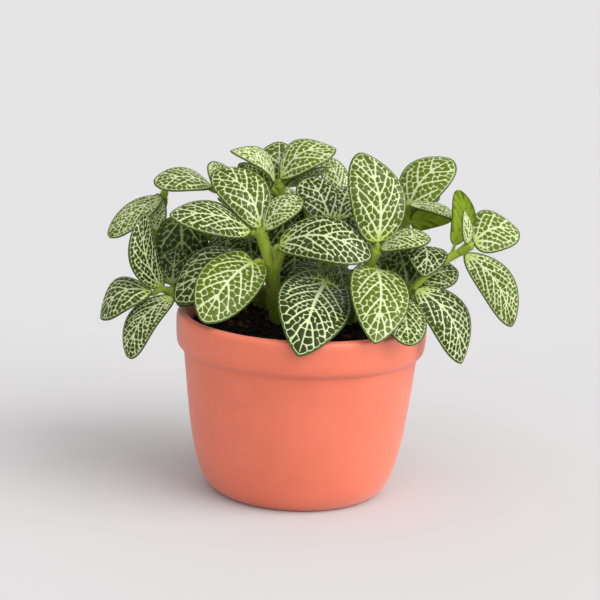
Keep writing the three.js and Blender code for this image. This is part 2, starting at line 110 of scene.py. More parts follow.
class Value:
    """One output of a node, which can be added, subtracted and multiplied."""

    def __init__(self, finish, socket):
        self.finish = finish
        self.socket = socket

    def _math(self, operation, first, second):
        return self.finish.node("ShaderNodeMath", {"operation": operation}, {0: first, 1: second})

    def __add__(self, other):
        return self._math("ADD", self, other)

    __radd__ = __add__

    def __sub__(self, other):
        return self._math("SUBTRACT", self, other)

    def __rsub__(self, other):
        return self._math("SUBTRACT", other, self)

    def __mul__(self, other):
        return self._math("MULTIPLY", self, other)

    __rmul__ = __mul__

    def between(self, low, high):
        """0 below low, 1 above high, and a smooth rise in the middle. low may be the larger."""
        settings = {"interpolation_type": "SMOOTHSTEP"}
        inputs = {"Value": self, "From Min": low, "From Max": high}
        return self.finish.node("ShaderNodeMapRange", settings, inputs)


class Finish:
    """One material and its nodes."""

    def __init__(self, name):
        self.material = bpy.data.materials.new(name)
        self.material.use_nodes = True
        self.tree = self.material.node_tree
        self.tree.nodes.clear()

    def node(self, kind, settings=None, inputs=None, output=0):
        """Adds a node of that type, with its settings and with values or links in its sockets."""
        made = self.tree.nodes.new(kind)
        for name, value in (settings or {}).items():
            setattr(made, name, value)
        for key, value in (inputs or {}).items():
            if isinstance(value, Value):
                self.tree.links.new(value.socket, made.inputs[key])
            else:
                made.inputs[key].default_value = value
        return Value(self, made.outputs[output])

    def place(self):
        return self.node("ShaderNodeTexCoord", output="Object")

    def stretched(self, scale):
        """The place on the piece, stretched by a scale for each axis."""
        return self.node("ShaderNodeMapping", inputs={"Vector": self.place(), "Scale": scale})

    def height(self):
        """How high the place on the piece lies, in metres."""
        return self.node("ShaderNodeSeparateXYZ", inputs={0: self.place()}, output=2)

    def attribute(self, name):
        return self.node("ShaderNodeAttribute", {"attribute_name": name}, output="Fac")

    def noise(self, size, detail=2.0, roughness=0.5, at=None):
        """Cloudy noise from about 0 to 1, with lumps of that size in metres."""
        inputs = {
            "Vector": at or self.place(), "Scale": 1 / size, "Detail": detail, "Roughness": roughness,
        }
        return self.node("ShaderNodeTexNoise", inputs=inputs)

    def cells(self, size, at=None):
        """The distance to the nearest of many scattered points that lie about that size apart."""
        inputs = {"Vector": at or self.place(), "Scale": 1 / size}
        return self.node("ShaderNodeTexVoronoi", inputs=inputs, output="Distance")

    def mix(self, share, first, second):
        """The first colour where share is 0 and the second where it is 1."""
        made = self.tree.nodes.new("ShaderNodeMix")
        made.data_type = "RGBA"
        for socket, value in ((made.inputs[0], share), (made.inputs[6], first), (made.inputs[7], second)):
            if isinstance(value, Value):
                self.tree.links.new(value.socket, socket)
            else:
                socket.default_value = value
        return Value(self, made.outputs[2])

    def bump(self, height, distance):
        """Relief in the shading only, which stands up by that distance where the height is 1."""
        inputs = {"Height": height, "Distance": distance, "Strength": 1.0}
        return self.node("ShaderNodeBump", inputs=inputs)

    def surface(self, shader):
        out = self.tree.nodes.new("ShaderNodeOutputMaterial")
        self.tree.links.new(shader.socket, out.inputs["Surface"])
        print("material", self.material.name, "has", len(self.tree.nodes), "nodes")
        return self.material


def colour(red, green, blue):
    """A colour from the 0 to 255 values that a paint program shows."""
    def linear(value):
        share = value / 255
        return share / 12.92 if share <= 0.04045 else ((share + 0.055) / 1.055) ** 2.4

    return (linear(red), linear(green), linear(blue), 1.0)


# %% [markdown]
# ## The camera
# The photograph was taken from in front, a little above the rim, with a long lens, and then turned a few
# degrees. The numbers come from fitting the pot's two ellipses, at the lip and at the foot. Depth of
# field stays off.

# %% The camera
camera_place = Vector((0, -672.9 * MM, 225.4 * MM))
camera_down = math.radians(13.05)
camera_pan = math.radians(0.08)
camera_turn = math.radians(2.5)
camera_lens = 115.62

bpy.ops.object.camera_add(location=camera_place)
camera = bpy.context.object
camera.name = "photo_camera"
camera.data.lens = camera_lens
camera.data.sensor_width = 36
camera.data.clip_start = 0.05
camera.data.clip_end = 20
looking = Euler((math.pi / 2 - camera_down, 0, camera_pan)).to_quaternion()
camera.rotation_mode = "QUATERNION"
camera.rotation_quaternion = looking @ Quaternion((0, 0, 1), camera_turn)
bpy.context.scene.camera = camera
print("camera at", list(camera_place), "with a lens of", camera_lens, "mm")

# %% [markdown]
# ## Floor and light
# A photographer would stand the pot on a sheet of pale paper, with white walls around it and large soft
# lamps. The paper is one wide disc. Each lamp is a sun with a wide disc, because that gives soft edges to
# the shadows. The key lamp, high up at the right front, throws the long shadow to the left. A broad one
# in front lights the faces of the leaves, and a low one at the right gives the pot its bright side. The
# world is a pale sky that fills the shade.

# %% Floor and light
floor_radius = 6.0
wall_glow = 0.88

paper = Finish("studio_paper")
paper_tone = paper.noise(60 * MM, detail=3)
paper_colour = paper.mix(paper_tone, colour(190, 189, 189), colour(193, 191, 191))
paper_shader = paper.node("ShaderNodeBsdfPrincipled", inputs={
    "Base Color": paper_colour,
    "Roughness": 0.9,
    "Specular IOR Level": 0.1,
})
bpy.ops.mesh.primitive_circle_add(vertices=64, radius=floor_radius, fill_type="NGON", location=(0, 0, 0))
floor = bpy.context.object
floor.name = "paper_floor"
floor.data.materials.append(paper.surface(paper_shader))


def soft_lamp(name, azimuth, elevation, angle, energy, tint):
    """A lamp far away, seen as a wide disc. Azimuth 0 is in front of the pot, 90 to its right."""
    print(name, "stands at", azimuth, "degrees,", elevation, "degrees up")
    azimuth, elevation = math.radians(azimuth), math.radians(elevation)
    bpy.ops.object.light_add(type="SUN")
    lamp = bpy.context.object
    lamp.name = name
    lamp.data.angle = math.radians(angle)
    lamp.data.energy = energy
    lamp.data.color = tint
    shining = Vector((
        -math.sin(azimuth) * math.cos(elevation),
        math.cos(azimuth) * math.cos(elevation),
        -math.sin(elevation),
    ))
    lamp.rotation_euler = shining.to_track_quat("-Z", "Y").to_euler()


soft_lamp("key_lamp", 58, 44, 50, 1.8, (1.0, 0.99, 0.97))
soft_lamp("front_lamp", 5, 25, 90, 1.0, (0.98, 0.99, 1.0))
soft_lamp("side_lamp", 85, 12, 50, 1.9, (0.99, 1.0, 1.0))

world = bpy.data.worlds.new("white_walls")
world.use_nodes = True
world.node_tree.nodes["Background"].inputs["Color"].default_value = (0.94, 0.95, 0.97, 1)
world.node_tree.nodes["Background"].inputs["Strength"].default_value = wall_glow
bpy.context.scene.world = world
bpy.context.scene.view_settings.view_transform = "Standard"

# %% [markdown]
# ## The terracotta finish
# Fired clay is never one flat red: it has soft clouds of paler and darker clay, fine grains, and a few
# small pits and pale specks. It could be a photograph wrapped round the pot, but five layers of noise and
# cells of different sizes need no seam. Some of them also roughen the surface. A little sheen pales the
# clay where it turns away, as its dusty skin does.

# %% Terracotta
clay = Finish("fired_clay")
clay_clouds = clay.noise(22 * MM, detail=4, roughness=0.6)
clay_mottle = clay.noise(3.2 * MM, detail=3, roughness=0.6)
clay_grain = clay.noise(0.45 * MM, detail=2)
clay_pits = clay.cells(3.1 * MM).between(0.10, 0.05)
clay_specks = clay.cells(2.3 * MM, at=clay.stretched((1.3, 1.3, 1.3))).between(0.11, 0.06)

clay_body = clay.mix(clay_clouds.between(0.3, 0.7), colour(208, 91, 54), colour(215, 98, 61))
clay_body = clay.mix(clay_mottle.between(0.35, 0.7) * 0.2, clay_body, colour(201, 84, 48))
clay_body = clay.mix(clay_grain.between(0.4, 0.75) * 0.25, clay_body, colour(218, 120, 90))
clay_body = clay.mix(clay_specks * 0.3, clay_body, colour(231, 155, 128))
clay_body = clay.mix(clay_pits * 0.25, clay_body, colour(147, 64, 48))
clay_height = clay_grain * 0.5 + clay_mottle * 0.5 - clay_pits * 0.8
clay_shader = clay.node("ShaderNodeBsdfPrincipled", inputs={
    "Base Color": clay_body,
    "Roughness": 0.5 + clay_mottle * 0.14,
    "Specular IOR Level": 1.0,
    "Sheen Weight": 0.18,
    "Sheen Roughness": 0.5,
    "Normal": clay.bump(clay_height, 0.06 * MM),
})
clay_material = clay.surface(clay_shader)

# %% [markdown]
# ## Raising a turned body
# A potter throws or presses a pot as one turned wall. It could be spun from a drawn profile. Here a disc
# is raised ring by ring, as on a wheel: each step extrudes the top face and widens or narrows it. The
# soil is raised in the same way.

# %% Raising a turned body


def raise_rings(radius, height, rings, facets):
    """A closed turned body: a disc at that height, raised through the rings, which end in a flat face."""
    select_only()
    bpy.ops.mesh.primitive_circle_add(
        vertices=facets, radius=radius, fill_type="NGON", location=(0, 0, 0), calc_uvs=False
    )
    body = bpy.context.object
    bpy.ops.object.mode_set(mode="EDIT")
    bpy.ops.mesh.select_all(action="SELECT")
    bpy.ops.transform.translate(value=(0, 0, height))
    for wide, high in rings:
        bpy.ops.mesh.extrude_region_move(TRANSFORM_OT_translate={"value": (0, 0, high - height)})
        share = wide / radius
        bpy.ops.transform.resize(value=(share, share, 1), center_override=(0, 0, high))
        radius, height = wide, high
    bpy.ops.mesh.select_all(action="SELECT")
    bpy.ops.mesh.normals_make_consistent(inside=False)
    bpy.ops.object.mode_set(mode="OBJECT")
    return body


# %% [markdown]
# ## The pot
# The wall widens from a rounded foot to a thick rounded collar, goes over the lip and down the inside. A
# subdivision rounds the corners between the rings, and three drilled holes let water out. They are cut as
# a drill would cut them, with a cylinder and a Boolean modifier.

# %% The pot
pot_height = 65 * MM
rim_radius = 45 * MM
collar_height = 13 * MM
base_radius = 29 * MM
foot_radius = 30 * MM
collar_foot = pot_height - collar_height
pot_floor = 5 * MM
pot_facets = 96
drain_radius = 3 * MM
drain_circle = 14 * MM

# Radius and height of each ring: up the outside, over the lip, down the inside and onto the floor.
pot_rings = [
    (foot_radius, 0.25 * MM),
    (31.3 * MM, 1.1 * MM),
    (34.4 * MM, 4.5 * MM),
    (36.4 * MM, 11 * MM),
    (38.4 * MM, 19 * MM),
    (40.4 * MM, 35 * MM),
    (42.0 * MM, collar_foot - 1.2 * MM),
    (42.2 * MM, collar_foot),
    (43.0 * MM, collar_foot + 0.1 * MM),
    (44.4 * MM, collar_foot + 1.0 * MM),
    (44.8 * MM, collar_foot + 3.5 * MM),
    (rim_radius, pot_height - 5 * MM),
    (rim_radius, pot_height - 1.4 * MM),
    (44.5 * MM, pot_height - 0.4 * MM),
    (43.4 * MM, pot_height),
    (41.9 * MM, pot_height),
    (41.1 * MM, pot_height - 0.8 * MM),
    (40.7 * MM, pot_height - 4 * MM),
    (40 * MM, collar_foot),
    (36.8 * MM, 48 * MM),
    (31.2 * MM, 10 * MM),
    (28 * MM, pot_floor + 0.3 * MM),
    (26.5 * MM, pot_floor),
]

pot = raise_rings(base_radius, 0, pot_rings, pot_facets)
apply_modifier(pot, "SUBSURF", levels=2, render_levels=2)

for hole in range(3):
    hole_turn = (hole + 0.25) * 2 * math.pi / 3
    hole_place = (drain_circle * math.cos(hole_turn), drain_circle * math.sin(hole_turn), pot_floor / 2)
    bpy.ops.mesh.primitive_cylinder_add(
        vertices=32, radius=drain_radius, depth=3 * pot_floor, location=hole_place
    )
    drill = bpy.context.object
    apply_modifier(pot, "BOOLEAN", object=drill, operation="DIFFERENCE", solver="EXACT")
    bpy.data.objects.remove(drill)

select_only(pot)
bpy.ops.object.shade_smooth_by_angle(angle=math.radians(40))
pot.data.materials.clear()
pot.data.materials.append(clay_material)
finish_piece(pot, "terracotta_pot", ["pot"])

# %% [markdown]
# ## The soil's finish
# Peat soil is nearly black when damp, with brown lumps and pale threads. Two layers of noise make that,
# one of them stretched into threads. `crumb_shade` is a number kept with each vertex, 0 on the soil and
# different for each crumb on it, so that one material serves both.

# %% Soil material
peat = Finish("damp_peat")
peat_lumps = peat.noise(4 * MM, detail=6, roughness=0.7)
peat_threads = peat.noise(1.1 * MM, detail=4, roughness=0.7, at=peat.stretched((1, 2.6, 1)))
peat_crumb = peat.attribute("crumb_shade")
peat_body = peat.mix(peat_lumps.between(0.35, 0.75), colour(5, 3, 3), colour(20, 13, 10))
peat_body = peat.mix(peat_threads.between(0.55, 0.75) * 0.5, peat_body, colour(58, 38, 26))
peat_body = peat.mix(peat_crumb, peat_body, colour(92, 58, 38))
peat_height = peat_lumps * 0.6 + peat_threads * 0.4
peat_shader = peat.node("ShaderNodeBsdfPrincipled", inputs={
    "Base Color": peat_body,
    "Roughness": 0.82 + peat_threads * 0.15,
    "Specular IOR Level": 0.1,
    "Normal": peat.bump(peat_height, 0.5 * MM),
})
peat_material = peat.surface(peat_shader)

# %% [markdown]
# ## The soil
# The soil fills the pot and its surface is lumpy. A disc of many rings is raised like the pot, a hair
# inside its wall. Its top could be sculpted. Here it is pushed up and down by two cloud patterns, one for
# lumps and one for crumbs, because a seeded pattern comes out the same each time.

# %% The soil
soil_top = 60.4 * MM
soil_foot = 5.3 * MM
soil_foot_radius = 27.8 * MM
soil_radius = 40 * MM
soil_facets = 112
soil_relief = ((7 * MM, 2.2 * MM), (1.9 * MM, 1.3 * MM))
soil_wall = [
    (30.8 * MM, 10.2 * MM), (36.4 * MM, 48.1 * MM), (39.5 * MM, 52 * MM), (soil_radius, 59 * MM),
    (soil_radius - 0.6 * MM, soil_top),
]
soil_circles = 32
soil_inset = [
    (soil_radius * (1 - step / (soil_circles + 1)), soil_top) for step in range(1, soil_circles + 1)
]
soil = raise_rings(soil_foot_radius, soil_foot, soil_wall + soil_inset, soil_facets)
apply_modifier(soil, "SUBSURF", levels=1, render_levels=1)

soil_high = vertex_array(soil.data)[:, 2] > soil_top - 0.2 * MM
top_group = soil.vertex_groups.new(name="top")
top_group.add([int(i) for i in np.flatnonzero(soil_high)], 1.0, "REPLACE")
for lump_size, lump_height in soil_relief:
    clouds = bpy.data.textures.new("soil_clouds", "CLOUDS")
    clouds.noise_scale = lump_size
    clouds.noise_depth = 2
    apply_modifier(
        soil, "DISPLACE", texture=clouds, direction="Z", strength=lump_height, mid_level=0.5,
        vertex_group="top",
    )
select_only(soil)
bpy.ops.object.shade_smooth()
store_value(soil.data, "crumb_shade", np.zeros(len(soil.data.vertices)))
soil.data.materials.clear()
soil.data.materials.append(peat_material)
finish_piece(soil, "potting_soil", ["soil"])

# %% [markdown]
# ## Crumbs
# Loose crumbs of peat and bark lie on the soil. One small ball is made uneven, and copies of it are
# turned, stretched and dropped on the surface, each at a place and with a shade drawn from a seeded
# generator. They are joined into one piece.

# %% Crumbs
crumb_count = 420
crumb_reach = 38.5 * MM


def scattered_copies(pattern, faces, places):
    """Vertices and faces of copies of one small shape, one for each 4 by 4 matrix in places."""
    corners = np.hstack([pattern, np.ones((len(pattern), 1))])
    points = np.einsum("nij,kj->nki", np.array([np.array(place) for place in places]), corners)[..., :3]
    steps = len(pattern) * np.arange(len(places))
    return points.reshape(-1, 3), (faces[None] + steps[:, None, None]).reshape(-1, faces.shape[1])


def mesh_piece(name, points, faces):
    """A new object from arrays of points and faces."""
    mesh = bpy.data.meshes.new(name)
    mesh.from_pydata(points.tolist(), [], faces.tolist())
    made = bpy.data.objects.new(name, mesh)
    bpy.context.collection.objects.link(made)
    return made


crumb_draw = np.random.default_rng(11)
select_only()
bpy.ops.mesh.primitive_ico_sphere_add(subdivisions=2, radius=1, location=(0, 0, 0), calc_uvs=False)
crumb = bpy.context.object
crumb_clouds = bpy.data.textures.new("crumb_clouds", "CLOUDS")
crumb_clouds.noise_scale = 0.8
apply_modifier(crumb, "DISPLACE", texture=crumb_clouds, strength=0.9, mid_level=0.5)
crumb_shape = vertex_array(crumb.data)
crumb_faces = np.array([face.vertices[:] for face in crumb.data.polygons])
bpy.data.objects.remove(crumb)

crumb_places = []
for _ in range(crumb_count):
    reach = crumb_reach * math.sqrt(crumb_draw.random())
    turn = crumb_draw.random() * 2 * math.pi
    size = MM * (0.35 + 0.95 * crumb_draw.random() ** 2.5)
    long, flat = crumb_draw.uniform(1, 2.4), crumb_draw.uniform(0.6, 1)
    stretch = Matrix.Diagonal((size * long, size, size * flat, 1))
    spin = Euler(crumb_draw.uniform(0, 2 * math.pi, 3) * (0.2, 0.2, 1)).to_matrix().to_4x4()
    above = Vector((reach * math.cos(turn), reach * math.sin(turn), pot_height))
    ground = soil.ray_cast(above, (0, 0, -1))[1]
    crumb_places.append(Matrix.Translation(ground + Vector((0, 0, 0.3 * size))) @ spin @ stretch)
crumb_points, crumb_skin = scattered_copies(crumb_shape, crumb_faces, crumb_places)
print(len(crumb_places), "crumbs lie on the soil")
crumbs = mesh_piece("soil_crumbs", crumb_points, crumb_skin)
crumb_shades = np.repeat(crumb_draw.random(crumb_count) ** 3, len(crumb_shape))
store_value(crumbs.data, "crumb_shade", crumb_shades)
select_only(crumbs)
bpy.ops.object.shade_smooth()
crumbs.data.materials.append(peat_material)
finish_piece(crumbs, "soil_crumbs")

# %% [markdown]
# ## The shape of a leaf
# Every leaf is one curved surface, the same formula as in the CAD model, so the fine leaf lies in the
# plain one. `u` runs from margin to margin, -1 to 1, and `v` from base to tip, 0 to 1. `arch` lifts the
# middle, `roll` turns the blade about its midrib, `side` bows it, `lobe` draws the shoulders back and
# `cup` lets the margins hang. `taper` and `point` shape the outline at the base and at the tip, and
# `late` moves the top of the arch.

# %% The leaf surface
fold = 0.05
shoulder_rise = 12


def unit(vector):
    return vector / np.linalg.norm(vector)


class Leaf:
    """One leaf, given in millimetres and degrees and kept in metres."""

    def __init__(self, node, base, tip, width, arch=3, late=0.9, roll=0, side=0, lobe=0, cup=0.12,
                 taper=0.6, point=0.64, young=0, painted_shade_and_depth=0.5):
        self.node = np.array(node) * MM
        self.base = np.array(base) * MM
        self.width = width * MM
        self.ends = (taper, point)
        self.young = young
        # How far the leaf's green is darkened: partly its own deeper green, partly painted shade.
        self.painted_shade_and_depth = painted_shade_and_depth
        reach = np.array(tip) * MM - self.base
        self.length = np.linalg.norm(reach)
        self.along = unit(reach)
        up = unit(np.array((0, 0, 1)) - self.along[2] * self.along)
        turned = math.radians(roll)
        self.normal = up * math.cos(turned) + np.cross(self.along, up) * math.sin(turned)
        self.across = np.cross(self.along, self.normal)
        self.form = (arch * MM, late, side * MM, lobe * MM, cup)

    def outline(self, v):
        """Half width of the blade at v, as a share of its widest place."""
        taper, point = self.ends
        peak = taper / (taper + point)
        v = np.clip(v, 0, 1)
        return (v / peak) ** taper * ((1 - v) / (1 - peak)) ** point

    def run(self, u, v):
        """How far along the midrib u and v lie. The shoulders are drawn back, past the stalk."""
        return self.length * v - self.form[3] * u * u * (1 - v) ** 3 * (1 - np.exp(-shoulder_rise * v))

    def at(self, u, v):
        """Points of the blade's middle surface, one row for each u and v."""
        arch, late, side, _, cup = self.form
        u, v = np.broadcast_arrays(np.asarray(u, dtype=float), np.asarray(v, dtype=float))
        half = self.outline(v)
        rise = arch * np.sin(np.pi * v ** late) + self.width * (fold * np.abs(u) - cup * u * u) * half
        sway = self.width / 2 * half * u + side * np.sin(np.pi * v)
        return (
            self.base
            + self.run(u, v)[..., None] * self.along
            + rise[..., None] * self.normal
            + sway[..., None] * self.across
        )

    def normal_at(self, u, v):
        """Unit vectors square to the surface, on the side of the upper face."""
        step = 0.01
        v = np.clip(v, 0.004, 0.996)
        du = self.at(u + step, v) - self.at(u - step, v)
        dv = self.at(u, np.minimum(v + step, 0.998)) - self.at(u, np.maximum(v - step, 0.002))
        square = np.cross(du, dv)
        return square / np.linalg.norm(square, axis=-1, keepdims=True)


# %% [markdown]
# ## The net of veins
# A nerve plant's leaf has a thick midrib and side veins that bend towards the tip. Between them small
# veins close a net of cells, some end half way as spurs, and a last row of small cells lies along the
# margin. The net could be painted, but no brush stroke would be sharp enough, so it is worked out. Each
# leaf is laid flat and its main veins are drawn as lines. In the strips between them seeds are scattered
# in staggered rows: where two seeds are equally far, there runs a small vein. The result is one number
# for each vertex: how far it lies outside the nearest vein, in metres, below zero inside it.

# %% Distances to lines and cells
join_blend = 0.28 * MM
spur_share = 0.22
spur_gap = 0.5 * MM


def distance_outside(px, py, line, half_width):
    """How far the points lie outside a line of that half width, which may change from end to end."""
    half_width = np.broadcast_to(half_width, (len(line),))
    start, run = line[:-1], np.diff(line, axis=0)
    from_x = px[:, None] - start[:, 0]
    from_y = py[:, None] - start[:, 1]
    share = (from_x * run[:, 0] + from_y * run[:, 1]) / np.maximum((run ** 2).sum(1), 1e-12)
    share = np.clip(share, 0, 1)
    away = np.hypot(from_x - share * run[:, 0], from_y - share * run[:, 1])
    return (away - (half_width[:-1] + share * np.diff(half_width))).min(1)


def soft_least(first, second, blend=join_blend):
    """The lesser of two distances, rounded where they meet, as veins widen where they join."""
    mixed = np.clip(0.5 + 0.5 * (second - first) / blend, 0, 1)
    return second + (first - second) * mixed - blend * mixed * (1 - mixed)


def thinned(seeds, gap):
    """The seeds without those that crowd an earlier one."""
    kept = []
    for seed in seeds:
        if all(math.dist(seed, other) > gap for other in kept):
            kept.append(seed)
    return np.array(kept)


def seeds_along(path, step, start, draw, jitter):
    """Points about one step apart on a path, each moved a little at random."""
    run = np.append(0, np.cumsum(np.hypot(*np.diff(path, axis=0).T)))
    number = max(int(round(run[-1] / step)), 1)
    spots = (np.arange(number) + start) / number * run[-1] + draw.uniform(-jitter, jitter, number) * step
    seeds = np.stack([np.interp(spots, run, path[:, 0]), np.interp(spots, run, path[:, 1])], -1)
    return seeds + draw.uniform(-jitter, jitter, seeds.shape) * step / 2


def cell_walls(px, py, seeds, draw, whole, cell):
    """Distances of each point to the walls between its nearest seed and the next two.

    Some walls end half way, as spurs, but none between two of the first `whole` seeds."""
    away = np.hypot(px[:, None] - seeds[:, 0], py[:, None] - seeds[:, 1])
    order = np.argsort(away, axis=1)[:, :3]
    loose = draw.random((len(seeds), len(seeds)))
    loose[:whole, :whole] = 1
    near = order[:, 0]
    walls = []
    for rank in range(1, order.shape[1]):
        other = order[:, rank]
        gap = seeds[other] - seeds[near]
        apart = np.maximum(np.hypot(gap[:, 0], gap[:, 1]), 1e-6)
        rows = np.arange(len(px))
        wall = (away[rows, other] ** 2 - away[rows, near] ** 2) / (2 * apart)
        low, high = np.minimum(near, other), np.maximum(near, other)
        middle = (seeds[low] + seeds[high]) / 2
        facing = seeds[high] - seeds[low]
        along_wall = ((px - middle[:, 0]) * -facing[:, 1] + (py - middle[:, 1]) * facing[:, 0]) / apart
        open_end = (loose[low, high] < spur_share) * np.clip(along_wall / cell * 2.5 + 0.35, 0, 1)
        walls.append(wall + open_end * spur_gap)
    return walls


# %% [markdown]
# ## The net of one leaf
# A side vein starts on the midrib, leaves it at a sharp angle and bends a little towards the tip. The
# first two start close together at the base. How many there are depends on the leaf's length, and a small
# leaf has smaller cells and finer veins. Both halves of a leaf follow the same rule, each with its own
# random draws, because no real leaf is quite even. Outside the last row of cells runs a thin vein along
# the margin, which bends in between the cells, and outside that a narrow green rim.

# %% The net of one leaf
vein_reach = 0.76
vein_limit = 0.962
vein_pitch = 8 * MM
base_vein_share = 0.8
cell_pitch = 2.35 * MM
full_leaf = 22 * MM
full_cell_leaf = 20 * MM
rim_width = 0.6 * MM
scallop_depth = 0.3 * MM
scallop_reach = 0.7 * MM
margin_vein = 0.15 * MM
rim_start = 0.12 * MM
wall_blend = 0.45 * MM
waver_length = 0.8 * MM
waver_shift = 0.12 * MM
far_off = 1.0


class Net:
    """The net of one leaf, with random draws of its own."""

    def __init__(self, leaf, seed):
        self.leaf = leaf
        self.draw = np.random.default_rng(seed)
        self.size = min(max(leaf.width / full_leaf, 0.3), 1.12)
        self.cell = cell_pitch * min(max(leaf.width / full_cell_leaf, 0.5), 1.05)
        self.count = int(min(max(round(leaf.length / (vein_pitch * self.size ** 0.6)), 2), 6))
        self.rim = rim_width * self.size ** 0.7

    def flat(self, u, v):
        """The place of u and v on the leaf laid flat, in metres."""
        return np.stack([self.leaf.run(u, v), self.leaf.width / 2 * self.leaf.outline(v) * u], -1)

    def side_veins(self):
        """The side veins of one half, as lines on the flat leaf."""
        steps = np.arange(self.count) / self.count
        # Where the veins leave the midrib and where they end, as shares of the leaf's length.
        starts = 0.06 + 0.76 * (1 - (1 - steps) ** 1.2) + self.draw.uniform(-0.018, 0.018, self.count)
        ends = starts + 0.43 * (1 - starts) ** 0.6 + self.draw.uniform(-0.02, 0.02, self.count)
        starts = np.append(0.004, starts)
        ends = np.minimum(np.append(0.2, ends), vein_limit)
        share = np.linspace(0, 1, 14)
        veins = []
        for start, end in zip(starts, ends):
            foot = self.flat(np.zeros(1), np.full(1, start))[0]
            head = self.flat(np.full(1, vein_reach), np.full(1, end))[0]
            bend = np.stack([0.72 * share + 0.28 * share ** 2, share], -1)
            veins.append(foot + (head - foot) * bend)
        return veins

    def strip_edge(self, number):
        """The line between two strips of cells: a side vein, or the leaf's base or tip beyond them."""
        share = np.linspace(0, 1, 14)
        if number < 0:
            return self.flat(vein_reach * share ** 0.5, 0.07 * share)
        if number == len(self.veins):
            start = self.veins[-1][0, 0] / self.leaf.length
            return self.flat(0 * share, start + (0.97 - start) * share)
        return self.veins[number]

    def strip_seeds(self, number):
        """Seeds in staggered rows in the strip between a side vein and the one before it."""
        low, high = self.strip_edge(number - 1), self.strip_edge(number)
        width = np.median(distance_outside(*high[4:11].T, low, 0))
        rows = int(min(math.ceil(width / (1.08 * self.cell)), 3))
        seeds = []
        for row in range(rows):
            share = (row + 0.5) / rows
            path = low * (1 - share) + high * share
            seeds.append(seeds_along(path, self.cell, 0.25 + 0.5 * (row % 2), self.draw, 0.18))
        return np.concatenate(seeds)

    def margin_seeds(self):
        """One row of seeds along the margin."""
        v = np.linspace(0.02, 0.975, 60)
        half = self.leaf.width / 2 * self.leaf.outline(v)
        u = np.maximum(1 - (self.rim + 0.46 * self.cell) / half, 0.4)
        return seeds_along(self.flat(u, v), 0.98 * self.cell, 0.5, self.draw, 0.14)

    def wavered(self, px, py):
        """The places moved by a fraction of a millimetre, so that no vein runs dead straight."""
        phase = self.draw.uniform(0, 2 * np.pi, 4)
        x, y = px / waver_length, py / waver_length
        moved_x = px + waver_shift * (np.sin(y + phase[0]) + np.sin(0.7 * x + 1.3 * y + phase[1]))
        moved_y = py + waver_shift * (np.sin(x + phase[2]) + np.sin(1.2 * x - 0.8 * y + phase[3]))
        return moved_x, moved_y

    def half(self, u, v):
        """Distances outside the net, to the nearest wall and outside the side veins, for one half."""
        self.veins = self.side_veins()
        px, py = self.flat(u, v).T
        wx, wy = self.wavered(px, py)
        bent_x, bent_y = (px + wx) / 2, (py + wy) / 2
        main = np.full(len(u), far_off)
        strip = np.zeros(len(u), dtype=int)
        for index, line in enumerate(self.veins):
            thick = np.linspace(0.46 - 0.03 * index, 0.26, len(line)) * MM * self.size ** 0.8
            if index == 0:
                thick = thick * base_vein_share
            main = soft_least(main, distance_outside(bent_x, bent_y, line, thick))
            slope = (line[-1, 0] - line[-2, 0]) / (line[-1, 1] - line[-2, 1])
            beyond = np.maximum(bent_y - line[-1, 1], 0) * slope
            strip += bent_x > np.interp(bent_y, line[:, 1], line[:, 0]) + beyond

        margin = thinned(self.margin_seeds(), 0.6 * self.cell)
        wall = np.full(len(u), far_off)
        second_wall = np.full(len(u), far_off)
        for number in range(len(self.veins) + 1):
            here = strip == number
            seeds = thinned(np.concatenate([margin, self.strip_seeds(number)]), 0.68 * self.cell)
            if here.any():
                walls = cell_walls(wx[here], wy[here], seeds, self.draw, len(margin), self.cell)
                wall[here], second_wall[here] = walls
        fine = 0.08 * MM + 0.085 * MM * self.size
        net = soft_least(main, soft_least(wall - fine, second_wall - fine, wall_blend))
        return net, wall, main

    def field(self, u, v):
        """Distance outside the net, to the margin and outside the main veins, for each vertex."""
        net = np.empty(len(u))
        wall = np.empty(len(u))
        rib = np.empty(len(u))
        for side in (-1, 1):
            here = (u * side > 0) | ((u == 0) & (side > 0))
            net[here], wall[here], rib[here] = self.half(np.abs(u[here]), v[here])
        px, py = self.flat(u, v).T
        v_line = np.linspace(0, 1, 160) ** 1.3
        edge = distance_outside(px, np.abs(py), self.flat(np.ones(160), v_line), 0)
        scallop = self.rim + scallop_depth * (1 - np.minimum(wall / scallop_reach, 1))
        net = soft_least(net, np.abs(edge - scallop) - margin_vein)
        # No vein runs on into the green rim.
        net = np.maximum(net, scallop - rim_start - edge)
        spine = self.flat(np.zeros(30), np.linspace(0, 0.965, 30))
        thick = np.linspace(0.03 * self.leaf.width, 0.2 * MM * self.size, 30)
        spine_gap = distance_outside(px, py, spine, thick)
        return soft_least(net, spine_gap), edge, np.minimum(rib, spine_gap)


# %% [markdown]
# ## One leaf blade
# A blade starts as a flat grid with three vertices to a millimetre, or two on leaves in the shade and at
# the back. Each vertex is laid on the leaf's surface, and the fields between the veins are pushed up a
# little, which gives the quilted look. What the materials need is kept with each vertex: how far it lies
# from the net, from the margin and from the main veins, in millimetres, how young the leaf is, and how
# far its green is darkened, partly its own deeper green and partly painted shade. A Solidify modifier
# gives the sheet its thickness, and its lower side gets its own material.

# %% A leaf blade
vertex_gap = 0.33 * MM
shaded_vertex_gap = 0.46 * MM
shaded_behind = 26 * MM
blade_thickness = 0.5 * MM
quilt_height = 0.16 * MM
quilt_slope = 0.35 * MM
flat_margin = 1.2 * MM


